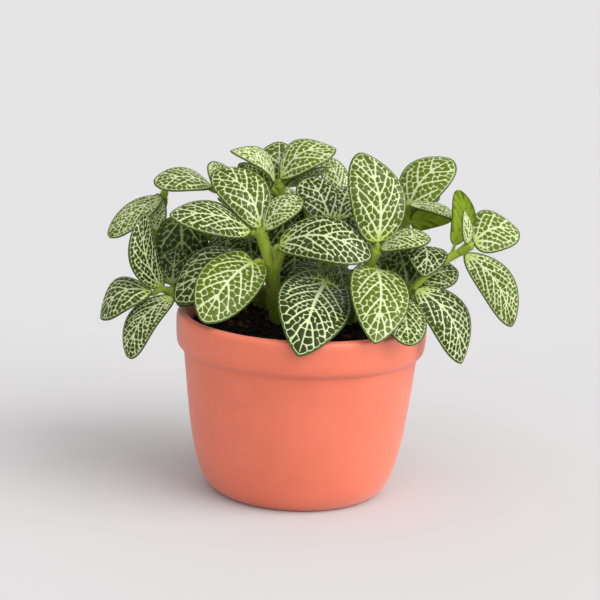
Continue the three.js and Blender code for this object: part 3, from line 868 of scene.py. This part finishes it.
def make_blade(leaf, seed):
    """The blade of one leaf. The grid's rows stand closer at the base and at the tip."""
    shaded = leaf.painted_shade_and_depth == 1 or leaf.base[1] > shaded_behind
    gap = shaded_vertex_gap if shaded else vertex_gap
    columns = 2 * max(int(leaf.width / gap / 2), 8)
    rows = max(int(leaf.length / gap), 16)
    select_only()
    bpy.ops.mesh.primitive_grid_add(
        x_subdivisions=columns, y_subdivisions=rows, size=2, location=(0, 0, 0), calc_uvs=False
    )
    blade = bpy.context.object
    grid = vertex_array(blade.data)
    u = np.round(grid[:, 0], 6)
    w = (grid[:, 1] + 1) / 2
    v = 0.003 + 0.994 * (w - 0.3 * np.sin(2 * np.pi * w) / (2 * np.pi))
    net, edge, rib = Net(leaf, seed).field(u, v)
    puff = quilt_height * (1 - np.exp(-np.maximum(net, 0) / quilt_slope))
    puff = puff * np.clip(edge / flat_margin, 0, 1)
    points = leaf.at(u, v) + leaf.normal_at(u * 0.98, v) * puff[:, None]
    blade.data.vertices.foreach_set("co", points.ravel())
    kept = {
        "vein": net / MM, "edge": edge / MM, "rib": np.minimum(rib / MM, 5), "along": v,
        "young": np.full(len(v), leaf.young), "painted_shade_and_depth": np.full(len(v), leaf.painted_shade_and_depth),
    }
    for name, values in kept.items():
        store_value(blade.data, name, values)
    blade.data.materials.append(leaf_upper_material)
    blade.data.materials.append(leaf_lower_material)
    apply_modifier(blade, "SOLIDIFY", thickness=blade_thickness, offset=0, material_offset=1)
    return blade


# %% [markdown]
# ## The leaf's upper face
# The fields are deep green with a few glossier patches, and the net is pale cream, yellower at the base.
# The veins' edges waver a little, and the green is paler beside them. Some leaves are darker: partly a
# deeper green of their own, partly painted shade, and on leaves deep in the shade the net is dimmed by
# painted shade too. A leaf is thin, so some light comes through from behind: a Translucent shader is
# mixed in by a fixed share.

# %% The upper face
skin_shine = 0.16
light_through = 0.12


def leafy_shader(finish, base, rough, normal, through, glow, gloss=0.0):
    """A material of plant skin, through which a fixed share of light shines in the colour of glow."""
    front = finish.node("ShaderNodeBsdfPrincipled", inputs={
        "Base Color": base,
        "Roughness": rough,
        "Specular IOR Level": skin_shine,
        "Coat Weight": gloss,
        "Coat Roughness": 0.22,
        "Normal": normal,
    })
    behind = finish.node("ShaderNodeBsdfTranslucent", inputs={"Color": glow})
    return finish.surface(finish.node("ShaderNodeMixShader", inputs={0: through, 1: front, 2: behind}))


upper = Finish("leaf_upper_face")
waver = upper.noise(0.9 * MM, detail=2)
base_glow = upper.attribute("along").between(0.2, 0.0)
young = upper.attribute("young")
painted_shade_and_depth = upper.attribute("painted_shade_and_depth")
vein_edge = upper.attribute("vein") + (waver - 0.5) * 0.12 - young * 0.05 - base_glow * 0.04
vein_mask = vein_edge.between(0.06, -0.07)
field_tone = upper.noise(7 * MM, detail=3)
# Darker leaves: partly their own deeper green, partly painted shade where they sit in the shade.
field_colour = upper.mix(painted_shade_and_depth, colour(84, 102, 2), colour(17, 30, 1))
field_colour = upper.mix(field_tone.between(0.3, 0.7) * 0.35, field_colour, colour(44, 60, 2))
near_vein = vein_edge.between(0.45, 0.0) * (0.45 - painted_shade_and_depth * 0.35)
field_colour = upper.mix(near_vein, field_colour, colour(106, 127, 22))
field_colour = upper.mix(young * 0.6, field_colour, colour(117, 140, 37))
field_colour = upper.mix(base_glow * 0.6, field_colour, colour(110, 132, 25))
vein_colour = upper.mix(base_glow, colour(198, 206, 158), colour(180, 195, 94))
# Painted shade: on leaves deep in the shade the pale net is dimmed to a dull green.
vein_colour = upper.mix(painted_shade_and_depth.between(0.85, 1.0) * 0.75, vein_colour, colour(96, 116, 50))
upper_colour = upper.mix(vein_mask, field_colour, vein_colour)
margin = upper.attribute("edge").between(0.7, 0.3)
upper_colour = upper.mix(margin * 0.8, upper_colour, colour(64, 83, 21))
fine_grain = upper.noise(0.35 * MM, detail=2)
upper_bump = upper.bump(fine_grain + vein_mask * 0.6, 0.05 * MM)
glossy_patch = upper.noise(6 * MM, detail=3).between(0.45, 0.7)
upper_gloss = glossy_patch * painted_shade_and_depth.between(0.95, 0.6) * 0.5
upper_rough = 0.34 + fine_grain * 0.1
leaf_upper_material = leafy_shader(
    upper, upper_colour, upper_rough, upper_bump, light_through, colour(131, 161, 25), upper_gloss
)

# %% [markdown]
# ## The leaf's lower face
# The lower face is a plainer green. The main veins stand out on it as pale ribs and the net shows only
# faintly. More light comes through than from above.

# %% The lower face
lower_light_through = 0.38

lower = Finish("leaf_lower_face")
lower_vein = lower.attribute("vein").between(0.2, -0.1)
lower_rib = lower.attribute("rib").between(1.1, 0.0)
lower_tone = lower.noise(5 * MM, detail=3)
lower_colour = lower.mix(lower_tone, colour(60, 90, 0), colour(76, 106, 1))
lower_colour = lower.mix(lower_rib, lower_colour, colour(152, 178, 36))
lower_colour = lower.mix(lower_vein * 0.35, lower_colour, colour(160, 182, 66))
lower_bump = lower.bump(lower.noise(0.4 * MM, detail=2) + lower_vein * 0.8, 0.06 * MM)
leaf_lower_material = leafy_shader(
    lower, lower_colour, 0.62, lower_bump, lower_light_through, colour(164, 200, 20)
)

# %% [markdown]
# ## Stalks and hairs
# Canes and stalks are a pale green, streaked along their length, and darkened near the soil with painted
# shade. The hairs on them are paler still, and too small to need more than one soft cloud of colour.

# %% Stalks and hairs
pale_above = 84 * MM
painted_shade_below = 58 * MM

stalk = Finish("hairy_stalk")
stalk_streak = stalk.noise(0.7 * MM, detail=3, at=stalk.stretched((1, 1, 0.12)))
stalk_tone = stalk.noise(9 * MM, detail=2)
stalk_colour = stalk.mix(stalk_tone.between(0.3, 0.7), colour(122, 141, 27), colour(148, 165, 48))
stalk_colour = stalk.mix(stalk_streak.between(0.45, 0.75) * 0.4, stalk_colour, colour(166, 178, 104))
# Painted shade: the canes darken towards the soil, under the leaves.
stalk_foot_painted_shade = stalk.height().between(pale_above, painted_shade_below)
stalk_colour = stalk.mix(stalk_foot_painted_shade * 0.8, stalk_colour, colour(66, 82, 12))
stalk_bump = stalk.bump(stalk_streak, 0.08 * MM)
stalk_material = leafy_shader(stalk, stalk_colour, 0.5, stalk_bump, 0.08, colour(140, 166, 60))

down = Finish("pale_down")
down_tone = down.noise(2 * MM)
down_colour = down.mix(down_tone, colour(187, 196, 154), colour(207, 210, 187))
down_shader = down.node("ShaderNodeBsdfPrincipled", inputs={"Base Color": down_colour, "Roughness": 0.6})
down_material = down.surface(down_shader)

# %% [markdown]
# ## Canes and leaf stalks
# A cane could be turned or skinned. It is drawn here as a curve with a round section, because a curve
# takes its own radius at every point: thick at the nodes, where leaves sit, and slimmer between them. A
# leaf's stalk is a curve too. It starts inside the cane, bends into line with the midrib, dives under the
# blade and runs out as a keel.

# %% Canes and stalks
stalk_drop = 2.5 * MM
thickest_stalk = 1.1 * MM
keel_places = np.array([0.0, 0.08, 0.2, 0.38, 0.62])
keel_shares = np.array([0.85, 0.62, 0.48, 0.36, 0.2])


def make_rod(points, radii, smoothness):
    """A closed round rod through the points, with a radius at each."""
    select_only()
    bpy.ops.curve.primitive_bezier_curve_add(location=(0, 0, 0))
    rod = bpy.context.object
    rod.data.dimensions = "3D"
    rod.data.bevel_depth = MM
    rod.data.bevel_resolution = 3
    rod.data.use_fill_caps = True
    rod.data.resolution_u = smoothness
    spline = rod.data.splines[0]
    spline.bezier_points.add(len(points) - 2)
    for spot, place, radius in zip(spline.bezier_points, points, radii):
        spot.co = place
        spot.radius = radius / MM
        spot.handle_left_type = "AUTO"
        spot.handle_right_type = "AUTO"
    bpy.ops.object.convert(target="MESH")
    rod = bpy.context.object
    bpy.ops.object.mode_set(mode="EDIT")
    bpy.ops.mesh.select_all(action="SELECT")
    bpy.ops.mesh.remove_doubles(threshold=0.002 * MM)
    bpy.ops.mesh.normals_make_consistent(inside=False)
    bpy.ops.object.mode_set(mode="OBJECT")
    rod.data.materials.clear()
    rod.data.materials.append(stalk_material)
    return rod


def below_node(canes, node):
    """The place inside the canes that lies a little way down from a node."""
    nearest = math.inf
    for cane in canes:
        points = [np.array(point[:3]) * MM for point in cane]
        for start, end in zip(points, points[1:]):
            share = np.clip(np.dot(node - start, end - start) / np.dot(end - start, end - start), 0, 1)
            spot = start + share * (end - start)
            if math.dist(spot, node) < nearest:
                nearest = math.dist(spot, node)
                below = spot - stalk_drop * unit(end - start)
    return below


def make_stalk(leaf, canes):
    """A leaf's stalk, with its keel under the blade."""
    reach = np.linalg.norm(leaf.base - leaf.node)
    bend = leaf.base - 0.4 * reach * leaf.along
    middle = 0.25 * leaf.node + 0.5 * bend + 0.25 * leaf.base
    thick = min(thickest_stalk, leaf.width / 13)
    keel_radii = thick * keel_shares
    under = keel_radii * 0.55 + 0.18 * blade_thickness
    midrib = 0.0 * keel_places
    keel = leaf.at(midrib, keel_places) - leaf.normal_at(midrib, keel_places) * under[:, None]
    points = [below_node(canes, leaf.node), middle, *keel]
    return make_rod(points, [thick * 1.35, thick, *keel_radii], 5)


# %% [markdown]
# ## Down
# Canes and stalks are covered in short pale hairs, which soften their outline. They could be grown as a
# hair system, but the plant has to be plain mesh. So one hair is a three-sided spike, and copies of it
# stand on faces of the canes and stalks that are drawn at random, square to them with a slight lean.

# %% Down
hairs_per_square_mm = 1.0
hair_radius = 0.045 * MM
hair_length = MM


def make_down(rods, draw):
    """Hairs on the faces of these rods, as one object."""
    select_only()
    bpy.ops.mesh.primitive_cone_add(vertices=3, radius1=hair_radius, depth=hair_length, calc_uvs=False)
    spike = bpy.context.object
    spike_shape = vertex_array(spike.data) + (0, 0, 0.45 * hair_length)
    spike_faces = np.array([face.vertices[:] for face in spike.data.polygons])
    bpy.data.objects.remove(spike)
    places = []
    for rod in rods:
        faces = rod.data.polygons
        areas = np.array([face.area for face in faces]) / MM ** 2
        number = int(areas.sum() * hairs_per_square_mm)
        for index in draw.choice(len(faces), number, p=areas / areas.sum()):
            face = faces[int(index)]
            corners = [rod.data.vertices[i].co for i in face.vertices]
            share = draw.random(len(corners)) + 0.05
            root = sum((c * float(s) for c, s in zip(corners, share)), Vector()) / float(share.sum())
            lean = Vector(draw.normal(0, 0.28, 3)) + Vector((0, 0, 0.15))
            turn = (face.normal + lean).to_track_quat("Z", "Y").to_matrix().to_4x4()
            length = draw.uniform(0.6, 1.4)
            places.append(Matrix.Translation(root) @ turn @ Matrix.Diagonal((1, 1, length, 1)))
    points, skin = scattered_copies(spike_shape, spike_faces, places)
    hairs = mesh_piece("down", points, skin)
    hairs.data.materials.append(down_material)
    return hairs


# %% [markdown]
# ## Growing a stem
# A stem could be put together by hand, leaf by leaf. Here it is grown from a few rows of numbers, because
# 72 leaves are too many to shape one by one. A cane has a place and a radius at each of its points, and
# its end gets a short blunt growing tip. A leaf has the node it grows from, the base and the tip of its
# blade, its width and its bends. `young` makes it paler, as fresh leaves are, and its darkness deepens
# its green, partly as a deeper green of its own and partly as painted shade on leaves inside the plant.
# The first two digits of the name seed the random draws. The canes, stalks, blades and hairs are joined
# into one piece that stands for its CAD node.

# %% Growing a stem
tip_rings = ((0.3, 0.75), (0.5, 0.25))
hair_seed = 500
blade_seed = 100


def grow_stem(name, canes, *leaves):
    """One leafy stem as one finished piece."""
    number = int(name[:2]) - 1
    rods = []
    for cane in canes:
        places = [np.array(point[:3]) * MM for point in cane]
        radii = [point[3] * MM for point in cane]
        end, end_radius = places[-1], radii[-1]
        growth = unit(end - places[-2]) * end_radius
        for reach, share in tip_rings:
            places.append(end + reach * growth)
            radii.append(share * end_radius)
        rods.append(make_rod(places, radii, 6))
    rods += [make_stalk(leaf, canes) for leaf in leaves]
    hairs = make_down(rods, np.random.default_rng(hair_seed + number))
    blades = [make_blade(leaf, blade_seed * number + index) for index, leaf in enumerate(leaves)]
    select_only(*blades, *rods, hairs)
    bpy.ops.object.join()
    grown = bpy.context.object
    bpy.ops.object.shade_smooth()
    print("stem", name, "canes:", len(canes), "leaves:", len(leaves))
    finish_piece(grown, "leafy_stem_" + name + "_grown", ["leafy_stem_" + name])


# %% [markdown]
# ## The stems in front
# These five stand along the front of the pot and lean over its rim. Most of their leaves are seen whole,
# so nearly each has bends and an outline of its own. All numbers are millimetres and degrees.

# %% The stems in front
grow_stem(
    "01_front_left", [
        [(-9, 1, 51, 2.4), (-9, 1, 63, 2.6), (-10, -1, 69, 2.6), (-11, -4, 77, 2.7), (-13, -5, 86, 2.1),
         (-15, -5, 92, 2.2), (-16, -5, 95, 2.4)],
        [(-11, -4, 76, 2), (-9.5, -6, 84, 1.7), (-8, -8, 89, 1.8)],
    ],
    Leaf((-16, -5, 94), (-16, -4.4, 95.8), (-33, 5.6, 114.4), 18.1, arch=3.3, roll=-33, side=2.9,
         lobe=2.3, taper=0.74, point=0.6, painted_shade_and_depth=0.35),
    Leaf((-16, -5, 93), (-19.4, -5.6, 94.7), (-47.6, -13.8, 100.7), 19.6, arch=3.9, roll=-28, taper=0.65,
         point=0.75, painted_shade_and_depth=0.6),
    Leaf((-15.5, -5, 94), (-14.8, -5.5, 95.4), (-1.5, -4, 106.9), 11.9, arch=2.6, roll=41, side=-1,
         taper=0.65, point=0.57, young=0.5),
    Leaf((-12.5, -5, 82), (-17.8, -7.9, 84.1), (-33.9, -33.5, 67.9), 20.8, arch=4.3, roll=-32, side=1.5,
         lobe=7.5, taper=0.64, point=0.68, painted_shade_and_depth=0.3, young=0.25),
    Leaf((-12.5, -4.5, 82), (-18.4, -2.1, 82.6), (-44.9, -13, 69.9), 21.3, arch=7.9, roll=-33, lobe=0.8,
         taper=0.57, point=0.69, painted_shade_and_depth=0.7),
    Leaf((-8.5, -7, 87), (-9, -10.1, 91.1), (23.4, -15.5, 89.4), 19.2, arch=8, roll=44, side=-0.8,
         lobe=3.9, taper=0.73, point=0.69, painted_shade_and_depth=0.75),
)
grow_stem(
    "02_front_middle", [
        [(17.5, 3, 51, 2), (17.5, 3, 63, 2.2), (19.5, -4, 72, 2.1), (22, -9, 82, 2), (23.5, -11, 88, 2),
         (25, -11.5, 91, 2.1)],
    ],
    Leaf((25, -11.5, 90), (25.3, -11.7, 93.8), (18, 0.9, 123.4), 21.3, arch=2.6, roll=-7, side=2.8,
         lobe=2.1, taper=0.59, point=0.65, painted_shade_and_depth=0.25),
    Leaf((24.5, -11, 89.5), (26.4, -12, 91.7), (43.5, -17.1, 96.6), 12.4, roll=28, side=-0.5, taper=0.63,
         point=0.65, young=0.5),
    Leaf((22.5, -9.5, 83), (25.3, -14.3, 84.9), (24.9, -43.2, 65.3), 21.4, arch=4.6, roll=-14, side=-0.5,
         lobe=5.5, taper=0.56, point=0.81, painted_shade_and_depth=0.3, young=0.3),
)
grow_stem(
    "03_middle", [
        [(11, 9, 51, 2), (11, 9, 63, 2.2), (10.5, 4, 73, 2), (10.5, 2, 82, 1.9), (10, 4, 91, 1.8),
         (9.5, 5, 96, 1.9)],
    ],
    Leaf((10.5, 3, 75), (8.1, -10.2, 79.3), (-0.7, -48.2, 61.1), 25.7, arch=6.7, late=1.6, roll=-20,
         side=1.3, lobe=13, cup=0.09, taper=0.73, point=0.75, painted_shade_and_depth=0.86),
    Leaf((9.5, 5, 95), (8.5, 4.1, 97.7), (-0.1, 12.5, 111.8), 17.1, arch=2, roll=-14, lobe=1, taper=0.54,
         point=0.46, painted_shade_and_depth=0.8),
    Leaf((9.5, 5, 95), (11.5, 6, 98), (15, 16, 108.5), 13, arch=2, roll=10, painted_shade_and_depth=0.8),
    Leaf((10.5, 2, 82), (11.5, 0, 83), (14.5, -13, 75), 9, arch=2, painted_shade_and_depth=1),
    Leaf((10.5, 2, 80), (8, 2, 80), (-6, 0, 76), 13, arch=2, roll=-30, painted_shade_and_depth=1),
)
grow_stem(
    "04_front_right", [
        [(32, -2, 51, 2.1), (32, -2, 63, 2.2), (35, -8, 72, 2), (38, -12, 77.5, 1.5),
         (42.5, -12, 82.5, 1.05), (47, -10.5, 86.5, 1.05), (51, -9.3, 89, 1.3), (55, -9.1, 91.8, 1.5),
         (57.9, -9, 94, 1.9)],
    ],
    Leaf((38, -12, 77), (39.6, -14, 78.5), (56.6, -18.1, 53.3), 17, arch=4.3, roll=43, side=-3.3,
         lobe=2.5, taper=0.75, point=0.79, painted_shade_and_depth=0.75),
    Leaf((42, -12, 82), (41.4, -8.8, 79.8), (54.4, -4.9, 83.6), 13, arch=2.3, roll=44, side=-0.4,
         point=0.63, painted_shade_and_depth=0.6),
    Leaf((38, -12, 77), (37, -10, 78), (33, -2, 90.5), 16, arch=2, roll=-20, painted_shade_and_depth=1),
    Leaf((35.5, -9, 73), (33.3, -13, 75.5), (36.6, -40, 64.4), 15.4, arch=2.7, roll=-6, lobe=4.1,
         taper=0.64, point=0.58),
    Leaf((56.5, -9, 92), (58.9, -9.2, 94.8), (75.3, -2.3, 98.3), 17.3, arch=1.7, roll=45, side=-2.7,
         lobe=0.6, taper=0.53, point=0.61, young=0.35, painted_shade_and_depth=0.3),
    Leaf((50.5, -9.4, 88.7), (56.4, -9.8, 91), (73.5, -17.7, 67.4), 13, arch=4.2, roll=52, side=-2.6,
         taper=0.64, point=0.67, painted_shade_and_depth=0.3),
    Leaf((47.5, -10.2, 87), (52.7, -7, 93.4), (53.2, -1, 112), 8.4, arch=1, roll=180, side=-2.5,
         taper=0.55, point=0.56),
    Leaf((56.5, -9, 92), (56.8, -10.4, 94.6), (54.7, -10.3, 106.9), 4.6, arch=1.3, roll=-60, taper=0.57,
         point=0.91, young=0.6, painted_shade_and_depth=0.2),
)
grow_stem(
    "05_right", [
        [(25, 17, 51, 2), (25, 17, 63, 2.1), (32.5, 16, 78, 1.9), (34.5, 12, 90, 1.8),
         (36.5, 8.5, 100, 1.8), (37, 8, 102, 1.9)],
    ],
    Leaf((36.8, 8, 101), (36.5, 8, 102.9), (51.7, 16, 120), 17.9, arch=2.2, roll=34, side=-2.4, lobe=2.1,
         taper=0.58, point=0.59, young=0.45, painted_shade_and_depth=0.25),
    Leaf((36.5, 8, 100), (36.4, 5.1, 104.7), (54.6, 2.7, 101.1), 9.8, arch=2.2, roll=13, taper=0.62,
         point=0.55),
    Leaf((36.2, 9, 98), (37.6, 6.8, 98.6), (51.9, 4, 99.8), 10.3, arch=1.5, roll=-60, side=0.7,
         taper=0.33, point=0.82),
    Leaf((35, 12, 90), (41.1, -5, 91.8), (41.7, -20, 84.1), 15.3, arch=3.5, roll=-6, side=-0.8, lobe=2.3,
         taper=0.42, point=0.76, painted_shade_and_depth=0.9),
    Leaf((36.8, 8, 101), (37, 12, 102), (44, 28, 106), 16, arch=2),
)

# %% [markdown]
# ## The stems in the middle
# One of these hangs over the rim at the left. The others rise behind the front stems and end in small
# pale leaves at the top.

# %% The stems in the middle
grow_stem(
    "06_left_over_the_rim", [
        [(-31, 6, 51, 2), (-31, 6, 62.5, 2.1), (-34, 4, 66.5, 1.9), (-39.5, 0, 69, 1.8),
         (-44.5, -5, 71, 1.8), (-47, -8, 72.5, 1.9)],
    ],
    Leaf((-46, -7, 72.5), (-50.2, -7.4, 73.3), (-57.1, -8.6, 100), 14.2, arch=0.5, roll=-48, side=-4.5,
         lobe=1.2, taper=0.51, point=0.55, painted_shade_and_depth=0.88),
    Leaf((-46.5, -7.5, 73), (-53, -10.5, 72.4), (-71.1, -10.9, 62.1), 17.1, arch=4.5, roll=-33, side=2.5,
         taper=0.76, point=0.75, painted_shade_and_depth=0.65),
    Leaf((-46, -7, 72.5), (-45.8, -9.9, 70.8), (-60.1, -18.3, 50), 12.2, arch=3.4, roll=-31, side=2.9,
         lobe=1.4, taper=0.61, point=0.55, painted_shade_and_depth=0.8),
    Leaf((-44, -4.5, 72), (-46.5, -5, 74), (-46, 2, 86), 13, arch=1, painted_shade_and_depth=1),
    Leaf((-32.5, 5, 65), (-36.5, 0, 67.8), (-43.5, -8, 67), 10, arch=2, young=0.3),
)
grow_stem(
    "07_left_back", [
        [(-23, 18, 51, 2), (-23, 18, 63, 2.1), (-33, 22, 74, 1.9), (-45, 20, 85, 1.8),
         (-50, 18, 88.5, 1.7), (-52.6, 17, 93, 1.5), (-51.8, 17, 103.5, 1.5)],
    ],
    Leaf((-52, 17, 99), (-52.4, 14.6, 102), (-70.7, 7.5, 87.9), 11.5, arch=2.7, roll=-30, side=-0.2,
         taper=0.62, point=0.57, young=0.2, painted_shade_and_depth=0.4),
    Leaf((-52.2, 17, 91), (-54, 14.1, 89.6), (-53.8, 14.4, 103.3), 8.1, arch=1.1, roll=10, taper=0.57,
         point=0.63, young=0.5),
    Leaf((-44, 20.5, 84), (-45.5, 14, 95), (-44, 6, 71), 20, arch=3, lobe=3, painted_shade_and_depth=1),
    Leaf((-50, 18, 88), (-51, 21, 89.5), (-57, 38, 80), 17),
)
grow_stem(
    "08_left_top", [
        [(-14, 21, 51, 2), (-14, 21, 63, 2.1), (-24, 20, 82, 1.9), (-27.5, 15, 95.5, 1.6),
         (-28.5, 13.5, 99.5, 1.6)],
    ],
    Leaf((-28.3, 13.7, 98.8), (-34.3, 11.2, 106.8), (-54.9, 6.1, 108.6), 14.8, arch=3.8, roll=-25,
         side=-0.2, taper=0.74, point=0.57, young=0.15, painted_shade_and_depth=0.4),
    Leaf((-28.3, 13.7, 98.8), (-32.1, 13, 106.4), (-34.5, 17.9, 115.3), 9.1, arch=1.8, roll=-1, side=1,
         taper=0.62, point=0.59, young=0.6),
    Leaf((-28, 14, 97.5), (-27, 19, 99), (-29, 34, 97), 10),
    Leaf((-27, 17, 90), (-26, 12, 91), (-29, 1, 83), 14, arch=2, painted_shade_and_depth=1),
    Leaf((-23, 20, 80), (-21, 15, 89), (-18, 4, 74), 17, arch=2, lobe=3, painted_shade_and_depth=1),
)
grow_stem(
    "09_top", [
        [(-1, 23, 51, 2), (-1, 23, 63, 2.1), (-5, 20, 87, 1.9), (-8.5, 18, 100, 1.9),
         (-10.5, 16, 108, 2)],
    ],
    Leaf((-10.5, 16, 107.5), (-12, 15.9, 108.9), (-28.4, 12.5, 120.1), 9.9, arch=3.6, roll=-41, side=2.8,
         taper=0.67, point=0.89, young=0.4, painted_shade_and_depth=0.3),
    Leaf((-10.5, 16, 107.5), (-10, 15.8, 109.9), (9.7, 20.6, 121.3), 16.3, arch=4.4, roll=33, side=-2.4,
         taper=0.78, point=0.78, young=0.45, painted_shade_and_depth=0.3),
    Leaf((-10.5, 16, 107.5), (-10.5, 20, 107), (-11, 28, 122), 17, arch=1, young=0.2),
    Leaf((-10, 16.5, 105), (-13.5, 14, 107), (-24.5, 10, 116.5), 13, arch=1, roll=-150),
    Leaf((-10, 16.5, 105), (-8, 18, 107.5), (7, 20.6, 114.5), 12, arch=1, roll=150),
    Leaf((-4, 21, 82), (-3.5, 17, 86), (-3.5, 7, 71), 17, arch=2, painted_shade_and_depth=1),
    Leaf((-7.5, 18.7, 97), (-9, 14, 104), (-8, 5, 86), 17, arch=2, lobe=3, painted_shade_and_depth=1),
)
grow_stem(
    "10_middle_back", [
        [(13, 27, 51, 2), (13, 27, 63, 2.1), (14.5, 26, 86, 1.9), (13.5, 24, 99, 1.8),
         (13.5, 24, 101, 1.8)],
    ],
    Leaf((13.5, 24, 100), (13.8, 24, 102), (7, 30.1, 116.3), 10.7, arch=1.7, roll=-21, side=-0.5,
         taper=0.67, point=0.49, young=0.3, painted_shade_and_depth=0.4),
    Leaf((13.5, 24, 100), (14.5, 24, 101.5), (22, 32, 111), 14, arch=2, young=0.2, painted_shade_and_depth=0.4),
    Leaf((13.5, 24.5, 97), (15, 28, 97.5), (20, 43, 94), 16),
    Leaf((14.5, 26, 86), (19, 23, 90), (28, 12, 80), 17, arch=2, painted_shade_and_depth=1),
    Leaf((13.8, 25, 94), (14, 21, 98), (14.5, 12, 86), 15, arch=2, painted_shade_and_depth=1),
    Leaf((14, 26.5, 77), (12, 21, 78), (5, 9, 68), 16, arch=2, painted_shade_and_depth=1),
)

# %% [markdown]
# ## The stems at the back
# From the front hardly a leaf of these is seen. They fill the plant out behind, as in any full pot.

# %% The stems at the back
grow_stem(
    "11_back_left", [
        [(-17, 29, 51, 2), (-17, 29, 63, 2.1), (-23, 33, 75, 1.9), (-28, 36, 83, 1.9)],
    ],
    Leaf((-27.5, 36, 82), (-30.5, 37, 84.5), (-50, 45, 85), 16),
    Leaf((-27.5, 36, 82), (-29, 39, 84), (-35, 58, 78), 18, arch=4),
    Leaf((-27.5, 36, 82), (-26, 38, 84.5), (-18, 52, 90), 14, arch=2, young=0.3),
    Leaf((-23, 33, 74), (-26, 36, 74.5), (-44, 46, 62), 19, arch=4, lobe=3, painted_shade_and_depth=1),
    Leaf((-17.5, 29.3, 66), (-9, 27, 69.5), (-6, 14, 65.5), 7, arch=1.5, painted_shade_and_depth=1),
)
grow_stem(
    "12_back", [
        [(-2, 33, 51, 2), (-2, 33, 63, 2.1), (-1, 35, 80, 1.9), (0, 38, 95, 1.9)],
    ],
    Leaf((0, 38, 94), (-2.5, 39, 97), (-17, 46, 103), 16, arch=2, painted_shade_and_depth=0.4),
    Leaf((0, 38, 94), (2, 39, 96.5), (8, 55, 101), 16, arch=2, painted_shade_and_depth=0.4),
    Leaf((0, 38, 93), (0, 41, 94), (-6, 62, 86), 19, arch=4, lobe=3),
    Leaf((-1, 35, 79), (-3.5, 38, 79.5), (-15, 56, 69), 19, arch=4, painted_shade_and_depth=1),
    Leaf((-1, 35, 79), (2.5, 38, 79), (11, 58, 67), 20, arch=4, lobe=3, painted_shade_and_depth=1),
    Leaf((-1.5, 34, 70), (4, 30, 72), (8, 16, 66), 10, arch=2, painted_shade_and_depth=1),
)
grow_stem(
    "13_back_right", [
        [(22, 27, 51, 2), (22, 27, 63, 2.1), (25, 32, 74, 1.9), (29, 36, 82, 1.9)],
    ],
    Leaf((28.5, 35.5, 81), (31.5, 36, 83.5), (46, 41, 84.5), 16, lobe=2),
    Leaf((28.5, 35.5, 81), (31, 39, 83), (39, 56, 77), 18, arch=4),
    Leaf((28.5, 35.5, 81), (28, 39, 84), (22, 54, 88), 13, arch=2, young=0.3),
    Leaf((25, 32, 73), (27, 36, 73), (23, 55, 62), 21, arch=4, lobe=3, painted_shade_and_depth=1),
)
grow_stem(
    "14_right_back", [
        [(33, 7, 51, 1.9), (33, 7, 63, 2), (42, 13, 71, 1.8), (49, 18, 76, 1.8)],
    ],
    Leaf((48.5, 17.5, 75.5), (48.5, 21, 76.5), (50, 38, 73), 13),
    Leaf((48.5, 17.5, 75.5), (45.5, 20, 76.5), (36, 34, 76), 15),
    Leaf((42, 13, 70), (42.5, 17, 70.5), (50, 36, 59), 18, arch=4, painted_shade_and_depth=0.6),
)
